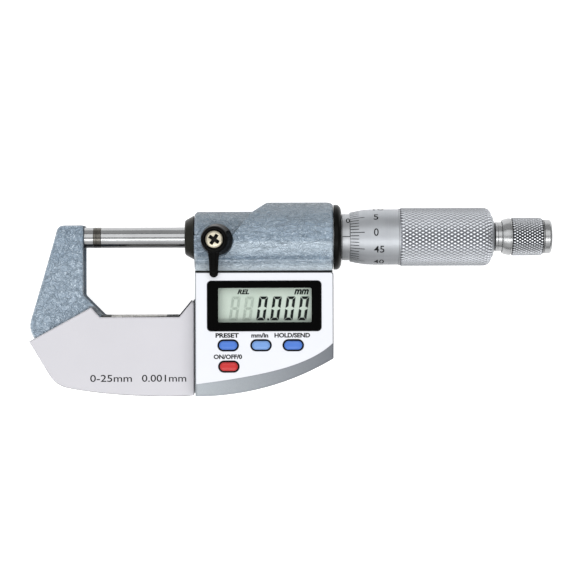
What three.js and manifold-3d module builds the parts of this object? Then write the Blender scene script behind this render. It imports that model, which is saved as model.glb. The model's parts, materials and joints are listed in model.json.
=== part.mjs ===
// Digital outside micrometer, 0 to 25 mm, lying on its flat back with the display up.
// Millimetres. Dimensions are counted from the middle of the anvil's measuring face: +X runs along the
// spindle towards the ratchet, +Y points from the bow to the spindle, and +Z is the way the display faces.
// The finished group is then set down with its own origin under its middle, on the bench.

import * as THREE from 'three';
import { mergeVertices } from 'three/addons/utils/BufferGeometryUtils.js';
import Module from 'manifold-3d';

const wasm = await Module();
wasm.setup();

// Spindle line
const SPINDLE_R = 3.25;
const CARBIDE_T = 1.45;
const FACE_GAP = 0.05;
const TRAVEL = 25;
const RUNNING_GAP = 0.2;
const THREAD_R = 3.65;

// Frame casting
const FRAME_HALF = 6.25;
const ARM_FACE_X = -3.65;
const ARM_TOP_Y = 3.85;
const THROAT_FLOOR_Y = -24.15;
const THROAT_CHAMFER = 6.2;
const THROAT_RIGHT_X = 31.3;
const PLATE_T = 1.3;
const PLATE_RIGHT_X = 30.9;

// Barrel
const BARREL_X0 = 30.9;
const BARREL_X1 = 74.3;
const BARREL_R = 10.95;
const NECK_R = 8.1;
const CAVITY_X0 = 55;
const CAVITY_R = 9.1;
const SHELF_Y = -7.4;
const SHELF_Z = 7.9;
const SHELF_RIM_Z = 11.2;

// Spindle lock
const LOCK_X = 37.4;
const LOCK_Y = -0.9;
const LOCK_SEAT_Z = 8.8;
const LEVER_TOP_Z = 15.3;
const RECESS_TURN = THREE.MathUtils.degToRad(56);

// Display housing
const HOUSE_X0 = 31.4;
const HOUSE_X1 = 74.2;
const HOUSE_TOP_Y = -10.95;
const BELLY_R = 82;
const BELLY_X = 32.1;
const BELLY_Y = 32.6;
const SEAM_Z = 6.55;
const FACE_Z = 12.5;
const BACK_Z = -12;
const WALL = 1.7;
const LABEL_T = 0.3;
const CASE_SCREWS = [[35.2, -14.2], [70.4, -14.2], [35.2, -45.6], [70.4, -35.6]];
const BOARD_SCREWS = [[52, -41.2], [62, -38.3]];
const BOARD_Z = 5.9;

// Display opening: outer size of the bezel, then the clear window inside it
const BEZEL = { x0: 35.25, x1: 70.3, y0: -29.1, y1: -13.8 };
const WINDOW = { x0: 38.55, x1: 67.4, y0: -26.5, y1: -15.9 };

// Buttons
const BUTTON = { length: 6.2, width: 3.3, travel: 0.8, base: 9.75, top: 13.5 };
const BUTTONS = {
  zero_button: [41.6, -33.6],
  unit_button: [51.75, -33.6],
  hold_button: [61.7, -33.6],
  power_button: [41.8, -40.15],
};

// Battery, under a coin-slot cap in the back
const CELL_X = 46;
const CELL_Y = -31;
const CELL_R = 5.8;
const CELL_H = 5.4;

// Sleeve, thimble and ratchet
const SLEEVE_R = 7.25;
const THIMBLE_X0 = 79.55;
const THIMBLE_X1 = 124.9;
const THIMBLE_R = 8.72;
const KNURL_R = 9.1;
const KNURL_X0 = 94.9;
const SLEEVE_X1 = THIMBLE_X0 + TRAVEL + 2;
const NUT_X1 = SLEEVE_X1 + 4;
const RATCHET_X0 = 127.3;
const RATCHET_X1 = 140.35;
const RATCHET_R = 5.95;

// The bench point under the middle of the object, counted from the anvil's face
const BENCH_ORIGIN = new THREE.Vector3(61.25, -19.25, BACK_Z);

const ROUND = 28;
const SMALL_ROUND = 14;
const BARREL_ROUND = 44;

// ---- Geometry helpers: every shape is a manifold solid until it becomes a mesh ----

function signedVolume(position, index) {
  const a = new THREE.Vector3();
  const b = new THREE.Vector3();
  const c = new THREE.Vector3();
  let volume = 0;
  for (let i = 0; i < index.length; i += 3) {
    a.fromBufferAttribute(position, index[i]);
    b.fromBufferAttribute(position, index[i + 1]);
    c.fromBufferAttribute(position, index[i + 2]);
    volume += a.dot(b.cross(c)) / 6;
  }
  return volume;
}

function solidOf(geometry) {
  geometry.deleteAttribute('normal');
  geometry.deleteAttribute('uv');
  const merged = mergeVertices(geometry, 1e-4);
  const corners = [];
  for (let i = 0; i < merged.index.count; i += 3) {
    const [a, b, c] = [0, 1, 2].map((k) => merged.index.getX(i + k));
    if (a !== b && b !== c && c !== a) corners.push(a, b, c);
  }
  if (signedVolume(merged.attributes.position, corners) < 0) corners.reverse();
  const vertProperties = new Float32Array(merged.attributes.position.array);
  const triVerts = new Uint32Array(corners);
  return new wasm.Manifold(new wasm.Mesh({ numProp: 3, vertProperties, triVerts }));
}

function geometryOf(solid) {
  const mesh = solid.getMesh();
  const geometry = new THREE.BufferGeometry();
  geometry.setAttribute('position', new THREE.BufferAttribute(mesh.vertProperties, 3));
  geometry.setIndex(new THREE.BufferAttribute(mesh.triVerts, 1));
  geometry.computeVertexNormals();
  return geometry;
}

// A closed [along, radius] profile turned about the X axis
function turned(profile, segments = ROUND) {
  const points = profile.map(([x, r]) => new THREE.Vector2(r, x));
  points.push(points[0].clone());
  return solidOf(new THREE.LatheGeometry(points, segments).rotateZ(-Math.PI / 2));
}

// The same about a line parallel to Z through (x, y)
function turnedUpright(x, y, profile, segments = SMALL_ROUND) {
  const points = profile.map(([z, r]) => new THREE.Vector2(r, z));
  points.push(points[0].clone());
  const lathe = new THREE.LatheGeometry(points, segments).rotateX(Math.PI / 2);
  return solidOf(lathe.translate(x, y, 0));
}

function tube(x0, x1, inner, outer, segments = ROUND) {
  return turned([[x0, inner], [x0, outer], [x1, outer], [x1, inner]], segments);
}

function rod(x0, x1, radius, segments = ROUND) {
  return tube(x0, x1, 0, radius, segments);
}

function post(x, y, radius, z0, z1, segments = SMALL_ROUND) {
  const cylinder = new THREE.CylinderGeometry(radius, radius, z1 - z0, segments);
  return solidOf(cylinder.rotateX(Math.PI / 2).translate(x, y, (z0 + z1) / 2));
}

function block(x0, x1, y0, y1, z0, z1) {
  const box = new THREE.BoxGeometry(x1 - x0, y1 - y0, z1 - z0);
  return solidOf(box.translate((x0 + x1) / 2, (y0 + y1) / 2, (z0 + z1) / 2));
}

// An outline in the XY plane between two heights, its edges eased by bevel
function slab(shape, z0, z1, bevel = 0, curveSegments = 4) {
  const options = {
    depth: z1 - z0 - 2 * bevel,
    bevelEnabled: bevel > 0,
    bevelThickness: bevel,
    bevelSize: bevel,
    bevelOffset: -bevel,
    bevelSegments: 1,
    curveSegments,
  };
  return solidOf(new THREE.ExtrudeGeometry(shape, options).translate(0, 0, z0 + bevel));
}

// A closed [y, z] outline carried along the X axis
function beam(outline, x0, x1) {
  const shape = new THREE.Shape(outline.map(([y, z]) => new THREE.Vector2(-z, y)));
  const length = new THREE.ExtrudeGeometry(shape, { depth: x1 - x0, bevelEnabled: false });
  return solidOf(length.rotateY(Math.PI / 2).translate(x0, 0, 0));
}

// ---- Outlines ----

function roundedRect({ x0, x1, y0, y1 }, radius) {
  const shape = new THREE.Shape();
  shape.absarc(x1 - radius, y1 - radius, radius, 0, Math.PI / 2);
  shape.absarc(x0 + radius, y1 - radius, radius, Math.PI / 2, Math.PI);
  shape.absarc(x0 + radius, y0 + radius, radius, Math.PI, 1.5 * Math.PI);
  shape.absarc(x1 - radius, y0 + radius, radius, 1.5 * Math.PI, 2 * Math.PI);
  return shape;
}

function grown({ x0, x1, y0, y1 }, by) {
  return { x0: x0 - by, x1: x1 + by, y0: y0 - by, y1: y1 + by };
}

function stadium([x, y], grow = 0) {
  const radius = BUTTON.width / 2 + grow;
  const reach = BUTTON.length / 2 + grow - radius;
  const shape = new THREE.Shape();
  shape.absarc(x + reach, y, radius, -Math.PI / 2, Math.PI / 2);
  shape.absarc(x - reach, y, radius, Math.PI / 2, 1.5 * Math.PI);
  return shape;
}

// The casting from the side: the anvil arm, the bow and its end under the display housing
function frameOutline() {
  const shape = new THREE.Shape();
  shape.moveTo(ARM_FACE_X, ARM_TOP_Y);
  shape.lineTo(-9.9, ARM_TOP_Y);
  shape.quadraticCurveTo(-11.5, ARM_TOP_Y, -12, 2.2);
  shape.quadraticCurveTo(-15, -8.6, -20.2, -25.9);
  shape.quadraticCurveTo(-20.9, -28.9, -19.1, -31.4);
  shape.lineTo(-19.4, -32.6);
  shape.lineTo(-13.8, -42);
  shape.quadraticCurveTo(-12, -44.8, -8.9, -45.6);
  shape.bezierCurveTo(-2, -47.3, 12, -48.9, 33, -48.5);
  shape.lineTo(33, -7);
  shape.lineTo(THROAT_RIGHT_X, -7);
  shape.lineTo(THROAT_RIGHT_X, THROAT_FLOOR_Y + 5.2);
  shape.lineTo(THROAT_RIGHT_X - 4.9, THROAT_FLOOR_Y);
  shape.lineTo(ARM_FACE_X + THROAT_CHAMFER, THROAT_FLOOR_Y);
  shape.lineTo(ARM_FACE_X, THROAT_FLOOR_Y + THROAT_CHAMFER);
  return shape;
}

function plateOutline() {
  const shape = new THREE.Shape();
  shape.moveTo(-20.5, -32.4);
  shape.lineTo(-1.25, -21.8);
  shape.lineTo(1.5, -24.85);
  shape.lineTo(26.25, -24.85);
  shape.lineTo(30.4, -19.85);
  shape.lineTo(PLATE_RIGHT_X, -20.7);
  shape.lineTo(PLATE_RIGHT_X, -49.3);
  shape.bezierCurveTo(12, -50, -2, -48.1, -8.8, -46.7);
  shape.quadraticCurveTo(-12.2, -45.8, -14.1, -42.9);
  return shape;
}

// The display housing from the front: straight sides over a belly of one large radius
function housingOutline(inset, topY = HOUSE_TOP_Y - inset) {
  const x0 = HOUSE_X0 + inset;
  const x1 = HOUSE_X1 - inset;
  const radius = BELLY_R - inset;
  const startAngle = -Math.acos((x1 - BELLY_X) / radius);
  const endAngle = -Math.acos((x0 - BELLY_X) / radius);
  const shape = new THREE.Shape();
  shape.moveTo(x0, topY);
  shape.lineTo(x1 - 1, topY);
  shape.quadraticCurveTo(x1, topY, x1, topY - 1);
  shape.absarc(BELLY_X, BELLY_Y, radius, startAngle, endAngle, true);
  return shape;
}

// ---- Frame, anvil and cover plates ----

// Along the foot of the barrel a shelf rises to the edge of the display housing
function barrelBlank() {
  const large = turned([
    [BARREL_X0, 0], [BARREL_X0, BARREL_R - 0.9], [BARREL_X0 + 0.9, BARREL_R],
    [BARREL_X1 - 1.7, BARREL_R], [BARREL_X1 - 0.6, BARREL_R - 0.25], [BARREL_X1, BARREL_R - 0.85],
    [BARREL_X1, 0],
  ], BARREL_ROUND);
  const narrow = turned([
    [BARREL_X0, 0], [BARREL_X0, NECK_R - 0.8], [BARREL_X0 + 0.8, NECK_R], [CAVITY_X0 + 0.5, NECK_R],
    [CAVITY_X0 + 0.5, 0],
  ], BARREL_ROUND);
  const slope = new THREE.Shape();
  slope.moveTo(BARREL_X0 - 2, 0.6);
  slope.lineTo(42.9, 0.6);
  slope.lineTo(48.4, 7.4);
  slope.lineTo(53.6, BARREL_R);
  slope.lineTo(58, BARREL_R + 3);
  slope.lineTo(BARREL_X0 - 2, BARREL_R + 3);
  const seatPocket = post(LOCK_X, LOCK_Y, 5.6, LOCK_SEAT_Z, 20, ROUND)
    .add(block(BARREL_X0 - 2, LOCK_X, LOCK_Y - 5.6, LOCK_Y + 5.6, LOCK_SEAT_Z, 20));
  const shelf = block(HOUSE_X0, BARREL_X1 - 0.4, HOUSE_TOP_Y - 0.5, SHELF_Y, -FRAME_HALF, FRAME_HALF)
    .add(beam([
      [HOUSE_TOP_Y + 0.1, 0], [SHELF_Y, 0], [SHELF_Y, SHELF_Z], [HOUSE_TOP_Y + 0.1, SHELF_RIM_Z],
    ], HOUSE_X0, BARREL_X1 - 0.4));
  return large.subtract(slab(slope, -20, 20)).subtract(seatPocket).add(narrow).add(shelf)
    .add(post(LOCK_X, LOCK_Y, 5.3, 0, LOCK_SEAT_Z, ROUND));
}

function trayBlank() {
  let tray = slab(housingOutline(0.5), -FRAME_HALF, FRAME_HALF);
  tray = tray.subtract(slab(housingOutline(3, -13.6), -FRAME_HALF + 2, FRAME_HALF + 1));
  for (const [x, y] of BOARD_SCREWS) tray = tray.add(post(x, y, 1.7, -FRAME_HALF + 1, BOARD_Z - 0.1));
  return tray;
}

function frameSolid() {
  let frame = slab(frameOutline(), -FRAME_HALF, FRAME_HALF, 0.5, 6)
    .subtract(block(THROAT_RIGHT_X + 0.7, 40, -60, -13, -10, 10))
    .add(barrelBlank())
    .add(trayBlank());
  const bores = [
    rod(-10.2, 0, SPINDLE_R + 0.1),
    rod(BARREL_X0 - 1, 43.6, 5.3),
    rod(43, CAVITY_X0 + 1, SPINDLE_R + 0.35),
    rod(CAVITY_X0, BARREL_X1 + 1, CAVITY_R),
    post(LOCK_X, LOCK_Y, 2.35, 0, 20),
    post(CELL_X, CELL_Y, 7.2, -10, 0, ROUND),
    block(55, 57.5, -15, -8, -2.2, 2.2),
  ];
  for (const bore of bores) frame = frame.subtract(bore);
  for (const [x, y] of CASE_SCREWS) {
    frame = frame.subtract(post(x, y, 1.2, -10, 0)).subtract(post(x, y, 2, -FRAME_HALF + 2, 10));
  }
  for (const [x, y] of BOARD_SCREWS) frame = frame.subtract(post(x, y, 0.9, 0, 10));
  return frame;
}

function anvilSolid() {
  return turned([[-10, 0], [-10, SPINDLE_R - 0.4], [-9.6, SPINDLE_R], [-0.9, SPINDLE_R], [-0.9, 0]]);
}

function coverPlate(side) {
  const z0 = side > 0 ? FRAME_HALF + 0.05 : -FRAME_HALF - 0.05 - PLATE_T;
  return slab(plateOutline(), z0, z0 + PLATE_T, 0.35, 6);
}

// ---- Nose of the barrel ----

function frontCollar() {
  return turned([
    [27.85, 3.6], [27.85, 5.1], [28.1, 5.45], [30.7, 6.95], [30.7, 3.6],
    [29.8, 3.6], [29.8, 4.65], [28.6, 4.65], [28.6, 3.6],
  ]);
}

function spindleBushing() {
  return tube(31.1, 43.4, SPINDLE_R + 0.17, 5.15).subtract(post(LOCK_X, LOCK_Y, 2.35, 0, 20));
}

// ---- Encoder ----

const KEY = { x0: 64.6, x1: 65.8, halfWidth: 0.6 };

function rotorHub() {
  const slot = block(KEY.x0 - 0.1, KEY.x1 + 0.1, -KEY.halfWidth - 0.1, KEY.halfWidth + 0.1, 2, 6);
  return tube(56.9, 66.1, SPINDLE_R + 0.2, 4.8).subtract(slot);
}

function encoderFlex() {
  return block(55.7, 56, -15.6, -9, -1.5, 1.5).add(block(55.7, 56, -15.6, -14.4, -1.5, BOARD_Z - 0.1));
}

// ---- Sleeve group ----

function innerSleeve() {
  return turned([
    [67.1, 4.2], [67.1, 8.9], [73.9, 8.9], [73.9, 6.3], [NUT_X1, 6.3],
    [NUT_X1, THREAD_R + 0.17], [NUT_X1 - 12, THREAD_R + 0.17], [NUT_X1 - 12.5, 4.2],
  ]);
}

function rearRing() {
  return turned([
    [74.5, 6.45], [74.5, 10.2], [75.7, 10.2], [76.4, 9.6], [76.8, 8.5], [76.95, 7.5], [76.95, 6.45],
  ]);
}

// ---- Electronics housing ----

function openings(grow) {
  const holes = Object.values(BUTTONS).map((place) => slab(stadium(place, grow), 5, 20, 0, 6));
  return holes.reduce((all, hole) => all.add(hole));
}

function frontShell() {
  let shell = slab(housingOutline(0), 5, FACE_Z, 0.6, 8);
  shell = shell.subtract(block(0, 100, -80, 0, 0, SEAM_Z));
  shell = shell.subtract(slab(housingOutline(WALL), 0, FACE_Z - WALL));
  for (const [x, y] of CASE_SCREWS) {
    shell = shell.add(post(x, y, 1.6, -3.9, FACE_Z - 1)).subtract(post(x, y, 1, -4, 5));
  }
  const portHole = block(HOUSE_X1 - 3, HOUSE_X1 + 1, -25, -18, 7.4, 10.2);
  return shell
    .subtract(openings(0.2))
    .subtract(slab(roundedRect(grown(BEZEL, 0.2), 1.3), FACE_Z - 1.1, 20))
    .subtract(slab(roundedRect(grown(BEZEL, -1), 0.8), 5, 20))
    .subtract(portHole);
}

// The printed face panel ends above the belly in one long curve
function frontLabel() {
  const shape = new THREE.Shape();
  shape.moveTo(HOUSE_X0 + 0.3, HOUSE_TOP_Y - 0.3);
  shape.lineTo(HOUSE_X1 - 1.1, HOUSE_TOP_Y - 0.3);
  shape.quadraticCurveTo(HOUSE_X1 - 0.3, HOUSE_TOP_Y - 0.3, HOUSE_X1 - 0.3, HOUSE_TOP_Y - 1.1);
  shape.lineTo(HOUSE_X1 - 0.3, -33);
  shape.bezierCurveTo(66, -40.6, 50, -43.2, HOUSE_X0 + 0.3, -45.6);
  return slab(shape, FACE_Z + 0.05, FACE_Z + 0.05 + LABEL_T)
    .subtract(openings(0.25))
    .subtract(slab(roundedRect(grown(BEZEL, 0.2), 1.3), 10, 20));
}

function displayBezel() {
  const rebate = { x0: 37.1, x1: 68.7, y0: -27.9, y1: -14.7 };
  return slab(roundedRect(BEZEL, 1.1), FACE_Z - 1, FACE_Z + 0.75, 0.25)
    .subtract(slab(roundedRect(WINDOW, 0.4), 5, 20))
    .subtract(slab(roundedRect(rebate, 0.4), 5, FACE_Z - 0.25));
}

function displayWindow() {
  return slab(roundedRect({ x0: 37.3, x1: 68.5, y0: -27.7, y1: -14.9 }, 0.3), FACE_Z - 0.95, FACE_Z - 0.35);
}

function lcdHolder() {
  return block(37.1, 68.6, -28.9, -14.3, BOARD_Z + 1.3, 10.1)
    .subtract(block(37.9, 67.95, -28.2, -15, 5, 20));
}

function mainBoard() {
  let board = slab(housingOutline(3.4, -14), BOARD_Z, BOARD_Z + 1);
  for (const [x, y] of CASE_SCREWS) board = board.subtract(post(x, y, 1.95, 0, 10));
  for (const [x, y] of BOARD_SCREWS) board = board.subtract(post(x, y, 0.9, 0, 10));
  return board;
}

function keypadMat() {
  const z = BOARD_Z + 1.1;
  let mat = block(37.6, 66, -36.2, -31, z, z + 0.8).add(block(37.6, 46.3, -42.3, -36, z, z + 0.8));
  const domeTop = BUTTON.base - BUTTON.travel - 0.1;
  for (const [x, y] of Object.values(BUTTONS)) mat = mat.add(post(x, y, 1.3, z, domeTop));
  return mat;
}

function buttonCap(place) {
  const skirt = slab(stadium(place, 0.55), BUTTON.base, BUTTON.base + 0.85, 0, 6);
  return slab(stadium(place), BUTTON.base + 0.25, BUTTON.top, 0.4, 6).add(skirt);
}

function backCover() {
  let cover = slab(housingOutline(0), BACK_Z, -5, 0.6, 8);
  cover = cover.subtract(block(0, 100, -80, 0, -SEAM_Z, 0));
  cover = cover.subtract(slab(housingOutline(WALL), BACK_Z + WALL, 0));
  cover = cover.add(post(CELL_X, CELL_Y, 9.2, -11, -SEAM_Z, ROUND));
  for (const [x, y] of CASE_SCREWS) cover = cover.add(post(x, y, 2.3, -11, -SEAM_Z));
  const countersink = [[-13, 0], [-13, 2.1], [-11.9, 2.1], [-10.8, 1.1], [0, 1.1], [0, 0]];
  for (const [x, y] of CASE_SCREWS) cover = cover.subtract(turnedUpright(x, y, countersink));
  return cover
    .subtract(post(CELL_X, CELL_Y, 8.3, -13, -10.3, ROUND))
    .subtract(post(CELL_X, CELL_Y, 7, -13, 0, ROUND));
}

function caseScrew([x, y]) {
  return turnedUpright(x, y, [[-11.8, 0], [-11.8, 1.9], [-10.75, 0.85], [3.2, 0.85], [4, 0]], 16);
}

function boardScrew([x, y]) {
  const z = BOARD_Z + 1.05;
  return turnedUpright(x, y, [[1, 0], [1, 0.7], [z, 0.7], [z, 1.5], [z + 0.7, 1.2], [z + 0.7, 0]], 16);
}

function batteryCap() {
  const body = turnedUpright(CELL_X, CELL_Y, [
    [BACK_Z, 0], [BACK_Z, 7.8], [BACK_Z + 0.3, 8.1], [-11.1, 8.1], [-11.1, 6.8], [-10.5, 6.8], [-10.5, 0],
  ], ROUND);
  return body.subtract(block(CELL_X - 5.5, CELL_X + 5.5, CELL_Y - 0.85, CELL_Y + 0.85, -13, -11.2));
}

function batteryCapSeal() {
  const ring = new THREE.TorusGeometry(7.55, 0.33, 6, ROUND);
  return solidOf(ring.translate(CELL_X, CELL_Y, -10.7));
}

function contactNegative() {
  return block(43, 54.3, -32.5, -29.5, -4.1, -3.8)
    .add(block(54, 54.3, -32.5, -29.5, -4.1, BOARD_Z - 0.1))
    .add(post(CELL_X, CELL_Y, 1, -4.8, -4, 12));
}

function contactPositive() {
  const foot = block(37.5, 39.7, -32, -30, BOARD_Z - 0.4, BOARD_Z - 0.1);
  return block(39.4, 39.7, -32, -30, -9, BOARD_Z - 0.1).add(foot);
}

// ---- Spindle lock ----

function lockWasher() {
  const z = LOCK_SEAT_Z + 0.05;
  return turnedUpright(LOCK_X, LOCK_Y, [[z, 2.5], [z, 4.1], [z + 0.3, 4.1], [z + 0.3, 2.5]]);
}

// The hub tapers upwards and leans a little towards the anvil; the arm points at the display
function lockLever() {
  const bottom = LOCK_SEAT_Z + 0.45;
  const height = LEVER_TOP_Z - bottom;
  const hub = new THREE.CylinderGeometry(4.05, 4.65, height, ROUND).rotateX(Math.PI / 2);
  const lean = new THREE.Matrix4().makeShear(0, 0, 0, 0, -0.45 / height, 0);
  hub.applyMatrix4(lean).translate(LOCK_X + 0.22, LOCK_Y, bottom + height / 2);
  const arm = new THREE.Shape();
  arm.moveTo(LOCK_X + 1.65, LOCK_Y - 2);
  arm.lineTo(LOCK_X - 1.6, LOCK_Y - 2);
  arm.lineTo(LOCK_X - 1.5, LOCK_Y - 10.4);
  arm.absarc(LOCK_X - 0.15, LOCK_Y - 10.4, 1.35, Math.PI, 2 * Math.PI);
  return solidOf(hub)
    .add(slab(arm, 13.15, 15, 0.45, 10))
    .subtract(post(LOCK_X, LOCK_Y, 2.25, 0, 13.6))
    .subtract(post(LOCK_X, LOCK_Y, 1.1, 0, 20))
    .subtract(post(LOCK_X, LOCK_Y, 3, 14.35, 20));
}

function lockBolt() {
  return post(LOCK_X, LOCK_Y, 2.05, 5.55, 13.4).subtract(post(LOCK_X, LOCK_Y, 1.1, 8.6, 20));
}

function lockScrew() {
  const head = turnedUpright(LOCK_X, LOCK_Y, [
    [9.2, 0], [9.2, 0.9], [14.45, 0.9], [14.45, 2.85], [15.25, 2.85], [15.6, 2.3], [15.75, 1.2], [15.75, 0],
  ]);
  const slots = [new THREE.BoxGeometry(3.4, 0.8, 1), new THREE.BoxGeometry(0.8, 3.4, 1)];
  return slots.reduce((screw, slot) => {
    slot.rotateZ(RECESS_TURN).translate(LOCK_X, LOCK_Y, 15.5);
    return screw.subtract(solidOf(slot));
  }, head);
}

// ---- Spindle, thimble and ratchet ----

function spindleSolid() {
  const tail = 121.2;
  const keyway = block(KEY.x0 - TRAVEL - 0.4, KEY.x1 + 0.4, -0.85, 0.85, 2.3, 5);
  return turned([
    [CARBIDE_T + 0.1, 0], [CARBIDE_T + 0.1, SPINDLE_R], [71.5, SPINDLE_R], [71.9, THREAD_R],
    [112.3, THREAD_R], [112.7, 3], [116.6, 3], [116.6, 4.1], [tail, 3.15],
    [tail, 1.5], [112, 1.5], [112, 0],
  ], 32).subtract(keyway);
}

function thimbleSolid() {
  return turned([
    [THIMBLE_X0, SLEEVE_R + RUNNING_GAP], [THIMBLE_X0, SLEEVE_R + 0.45], [84.7, THIMBLE_R],
    [KNURL_X0 - 0.25, THIMBLE_R], [KNURL_X0, KNURL_R], [121.9, KNURL_R], [122.9, 8.75], [123.6, 7.9],
    [124.2, 6.6], [124.7, 5.2], [THIMBLE_X1, 4.4], [THIMBLE_X1, 1.9], [121.6, 1.9], [121.6, 3.4],
    [116.3, 4.5], [115.5, SLEEVE_R + RUNNING_GAP],
  ], BARREL_ROUND);
}

function ratchetStem() {
  return turned([
    [113, 0], [113, 1.3], [125.1, 1.3], [125.1, 4.6], [RATCHET_X0 + 0.3, 4.6], [RATCHET_X0 + 0.3, 2.1],
    [138.6, 2.1], [138.6, 0.95], [133.5, 0.95], [133.5, 0],
  ], 32);
}

function ratchetKnob() {
  return turned([
    [RATCHET_X0, 4.85], [RATCHET_X0, 5.25], [RATCHET_X0 + 1.5, 5.75], [RATCHET_X0 + 2.8, RATCHET_R],
    [RATCHET_X1 - 1.6, RATCHET_R], [RATCHET_X1, 5.6], [RATCHET_X1, 3.6], [139.1, 3.6],
    [139.1, 2.35], [137.5, 2.35], [137.5, 4.85],
  ]);
}

function ratchetEndCap() {
  return turned([
    [RATCHET_X1 + 0.15, 0], [RATCHET_X1 + 0.15, 5.4], [142.2, 5.35], [142.8, 4.9], [143, 4.2], [143, 0],
  ]);
}

function ratchetDisc() {
  let disc = tube(134.8, 136.8, 2.3, 4.5);
  const teeth = 8;
  for (let i = 0; i < teeth; i += 1) {
    const tooth = new THREE.BoxGeometry(0.7, 1.6, 0.6);
    tooth.translate(136.95, 3.4, 0).rotateX((2 * Math.PI * i) / teeth);
    disc = disc.add(solidOf(tooth));
  }
  return disc;
}

function ratchetScrew() {
  return turned([
    [134.2, 0], [134.2, 0.75], [139.25, 0.75], [139.25, 3], [140.2, 3], [140.2, 0],
  ], SMALL_ROUND);
}

class HelixCurve extends THREE.Curve {
  constructor(x0, x1, radius, turns) {
    super();
    Object.assign(this, { x0, x1, radius, turns });
  }

  getPoint(t, target = new THREE.Vector3()) {
    const angle = 2 * Math.PI * this.turns * t;
    const x = this.x0 + (this.x1 - this.x0) * t;
    return target.set(x, this.radius * Math.cos(angle), this.radius * Math.sin(angle));
  }
}

function ratchetSpring() {
  const turns = 4;
  const wire = new THREE.Shape().absarc(0, 0, 0.35, 0, 2 * Math.PI);
  const extrudePath = new HelixCurve(128.5, 134.2, 3.3, turns);
  const options = { extrudePath, steps: turns * 12, curveSegments: 3, bevelEnabled: false };
  return solidOf(new THREE.ExtrudeGeometry(wire, options));
}

// ---- Materials ----

function material(color, roughness, metalness) {
  return () => new THREE.MeshStandardMaterial({ color, roughness, metalness });
}

const hammeredPaint = material(0x96a2b1, 0.45, 0.3);
const steel = material(0xc8c8c8, 0.25, 1);
const carbide = material(0x77756f, 0.25, 1);
const satinChrome = material(0xb9bcc2, 0.38, 1);
const brass = material(0xb08d4c, 0.35, 1);
const whitePlastic = material(0xe4e4e9, 0.5, 0);
const whitePanel = material(0xeef0f3, 0.45, 0);
const silverPlastic = material(0xa6acb4, 0.45, 0.2);
const blackPlastic = material(0x151515, 0.4, 0);
const blackRubber = material(0x1d1d1d, 0.8, 0);
const clearPlastic = material(0xdfe8e4, 0.08, 0);
const lcdGreen = material(0xb9c7b7, 0.3, 0);
const circuitBoard = material(0x1f5a38, 0.55, 0);
const flexAmber = material(0xb5722a, 0.45, 0);
const screwNickel = material(0xdedccb, 0.3, 1);
const buttonBlue = material(0x4f7edb, 0.3, 0);
const buttonLightBlue = material(0x6f9eee, 0.3, 0);
const buttonRed = material(0xcf2b2b, 0.3, 0);

// ---- Assembly ----

const micrometer = new THREE.Group();
micrometer.name = 'outside_micrometer';
micrometer.position.copy(BENCH_ORIGIN).negate();

function place(name, solid, newMaterial) {
  const mesh = new THREE.Mesh(geometryOf(solid), newMaterial());
  mesh.name = name;
  micrometer.add(mesh);
}

place('frame', frameSolid(), hammeredPaint);
place('anvil', anvilSolid(), steel);
place('anvil_tip', rod(-0.85, 0, SPINDLE_R), carbide);
place('front_plate', coverPlate(1), whitePlastic);
place('back_plate', coverPlate(-1), whitePlastic);

place('front_collar', frontCollar(), blackPlastic);
place('spindle_seal', tube(28.75, 29.65, SPINDLE_R + 0.15, 4.45), blackRubber);
place('spindle_bushing', spindleBushing(), brass);

place('encoder_stator', tube(55.3, 56.3, 4.6, 8.8), circuitBoard);
place('encoder_flex', encoderFlex(), flexAmber);
place('rotor_disc', tube(57, 57.8, 5, 8.6), circuitBoard);
place('rotor_hub', rotorHub(), brass);
place('rotor_key', block(KEY.x0, KEY.x1, -KEY.halfWidth, KEY.halfWidth, 2.7, 4.7), steel);
place('rotor_washer', tube(66.35, 66.75, 4, 5.4), steel);

place('inner_sleeve', innerSleeve(), steel);
place('scale_sleeve', tube(77.1, SLEEVE_X1, 6.45, SLEEVE_R), satinChrome);
place('adjusting_nut', tube(SLEEVE_X1 + 0.3, NUT_X1 - 0.4, 6.45, 6.95), steel);
place('rear_ring', rearRing(), blackPlastic);

place('front_shell', frontShell(), silverPlastic);
place('front_label', frontLabel(), whitePanel);
place('back_cover', backCover(), silverPlastic);
place('display_bezel', displayBezel(), blackPlastic);
place('display_window', displayWindow(), clearPlastic);
place('lcd_holder', lcdHolder(), blackPlastic);
place('lcd_glass', block(38.2, 67.7, -27.9, -15.3, BOARD_Z + 2.4, 10.1), lcdGreen);
place('zebra_strip', block(40, 66, -27.8, -26.4, BOARD_Z + 1.1, BOARD_Z + 2.3), blackRubber);
place('main_board', mainBoard(), circuitBoard);
place('keypad_mat', keypadMat(), blackRubber);
place('board_screw_a', boardScrew(BOARD_SCREWS[0]), steel);
place('board_screw_b', boardScrew(BOARD_SCREWS[1]), steel);
CASE_SCREWS.forEach((spot, i) => place(`case_screw_${i + 1}`, caseScrew(spot), screwNickel));
place('data_port_plug', block(HOUSE_X1 - 2.6, HOUSE_X1, -24.8, -18.2, 7.6, 10), blackRubber);

place('zero_button', buttonCap(BUTTONS.zero_button), buttonBlue);
place('unit_button', buttonCap(BUTTONS.unit_button), buttonLightBlue);
place('hold_button', buttonCap(BUTTONS.hold_button), buttonBlue);
place('power_button', buttonCap(BUTTONS.power_button), buttonRed);

place('battery_cell', post(CELL_X, CELL_Y, CELL_R, -10.35, -10.35 + CELL_H, ROUND), steel);
place('battery_contact_negative', contactNegative(), brass);
place('battery_contact_positive', contactPositive(), brass);
place('battery_cap', batteryCap(), silverPlastic);
place('battery_cap_seal', batteryCapSeal(), blackRubber);

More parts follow.
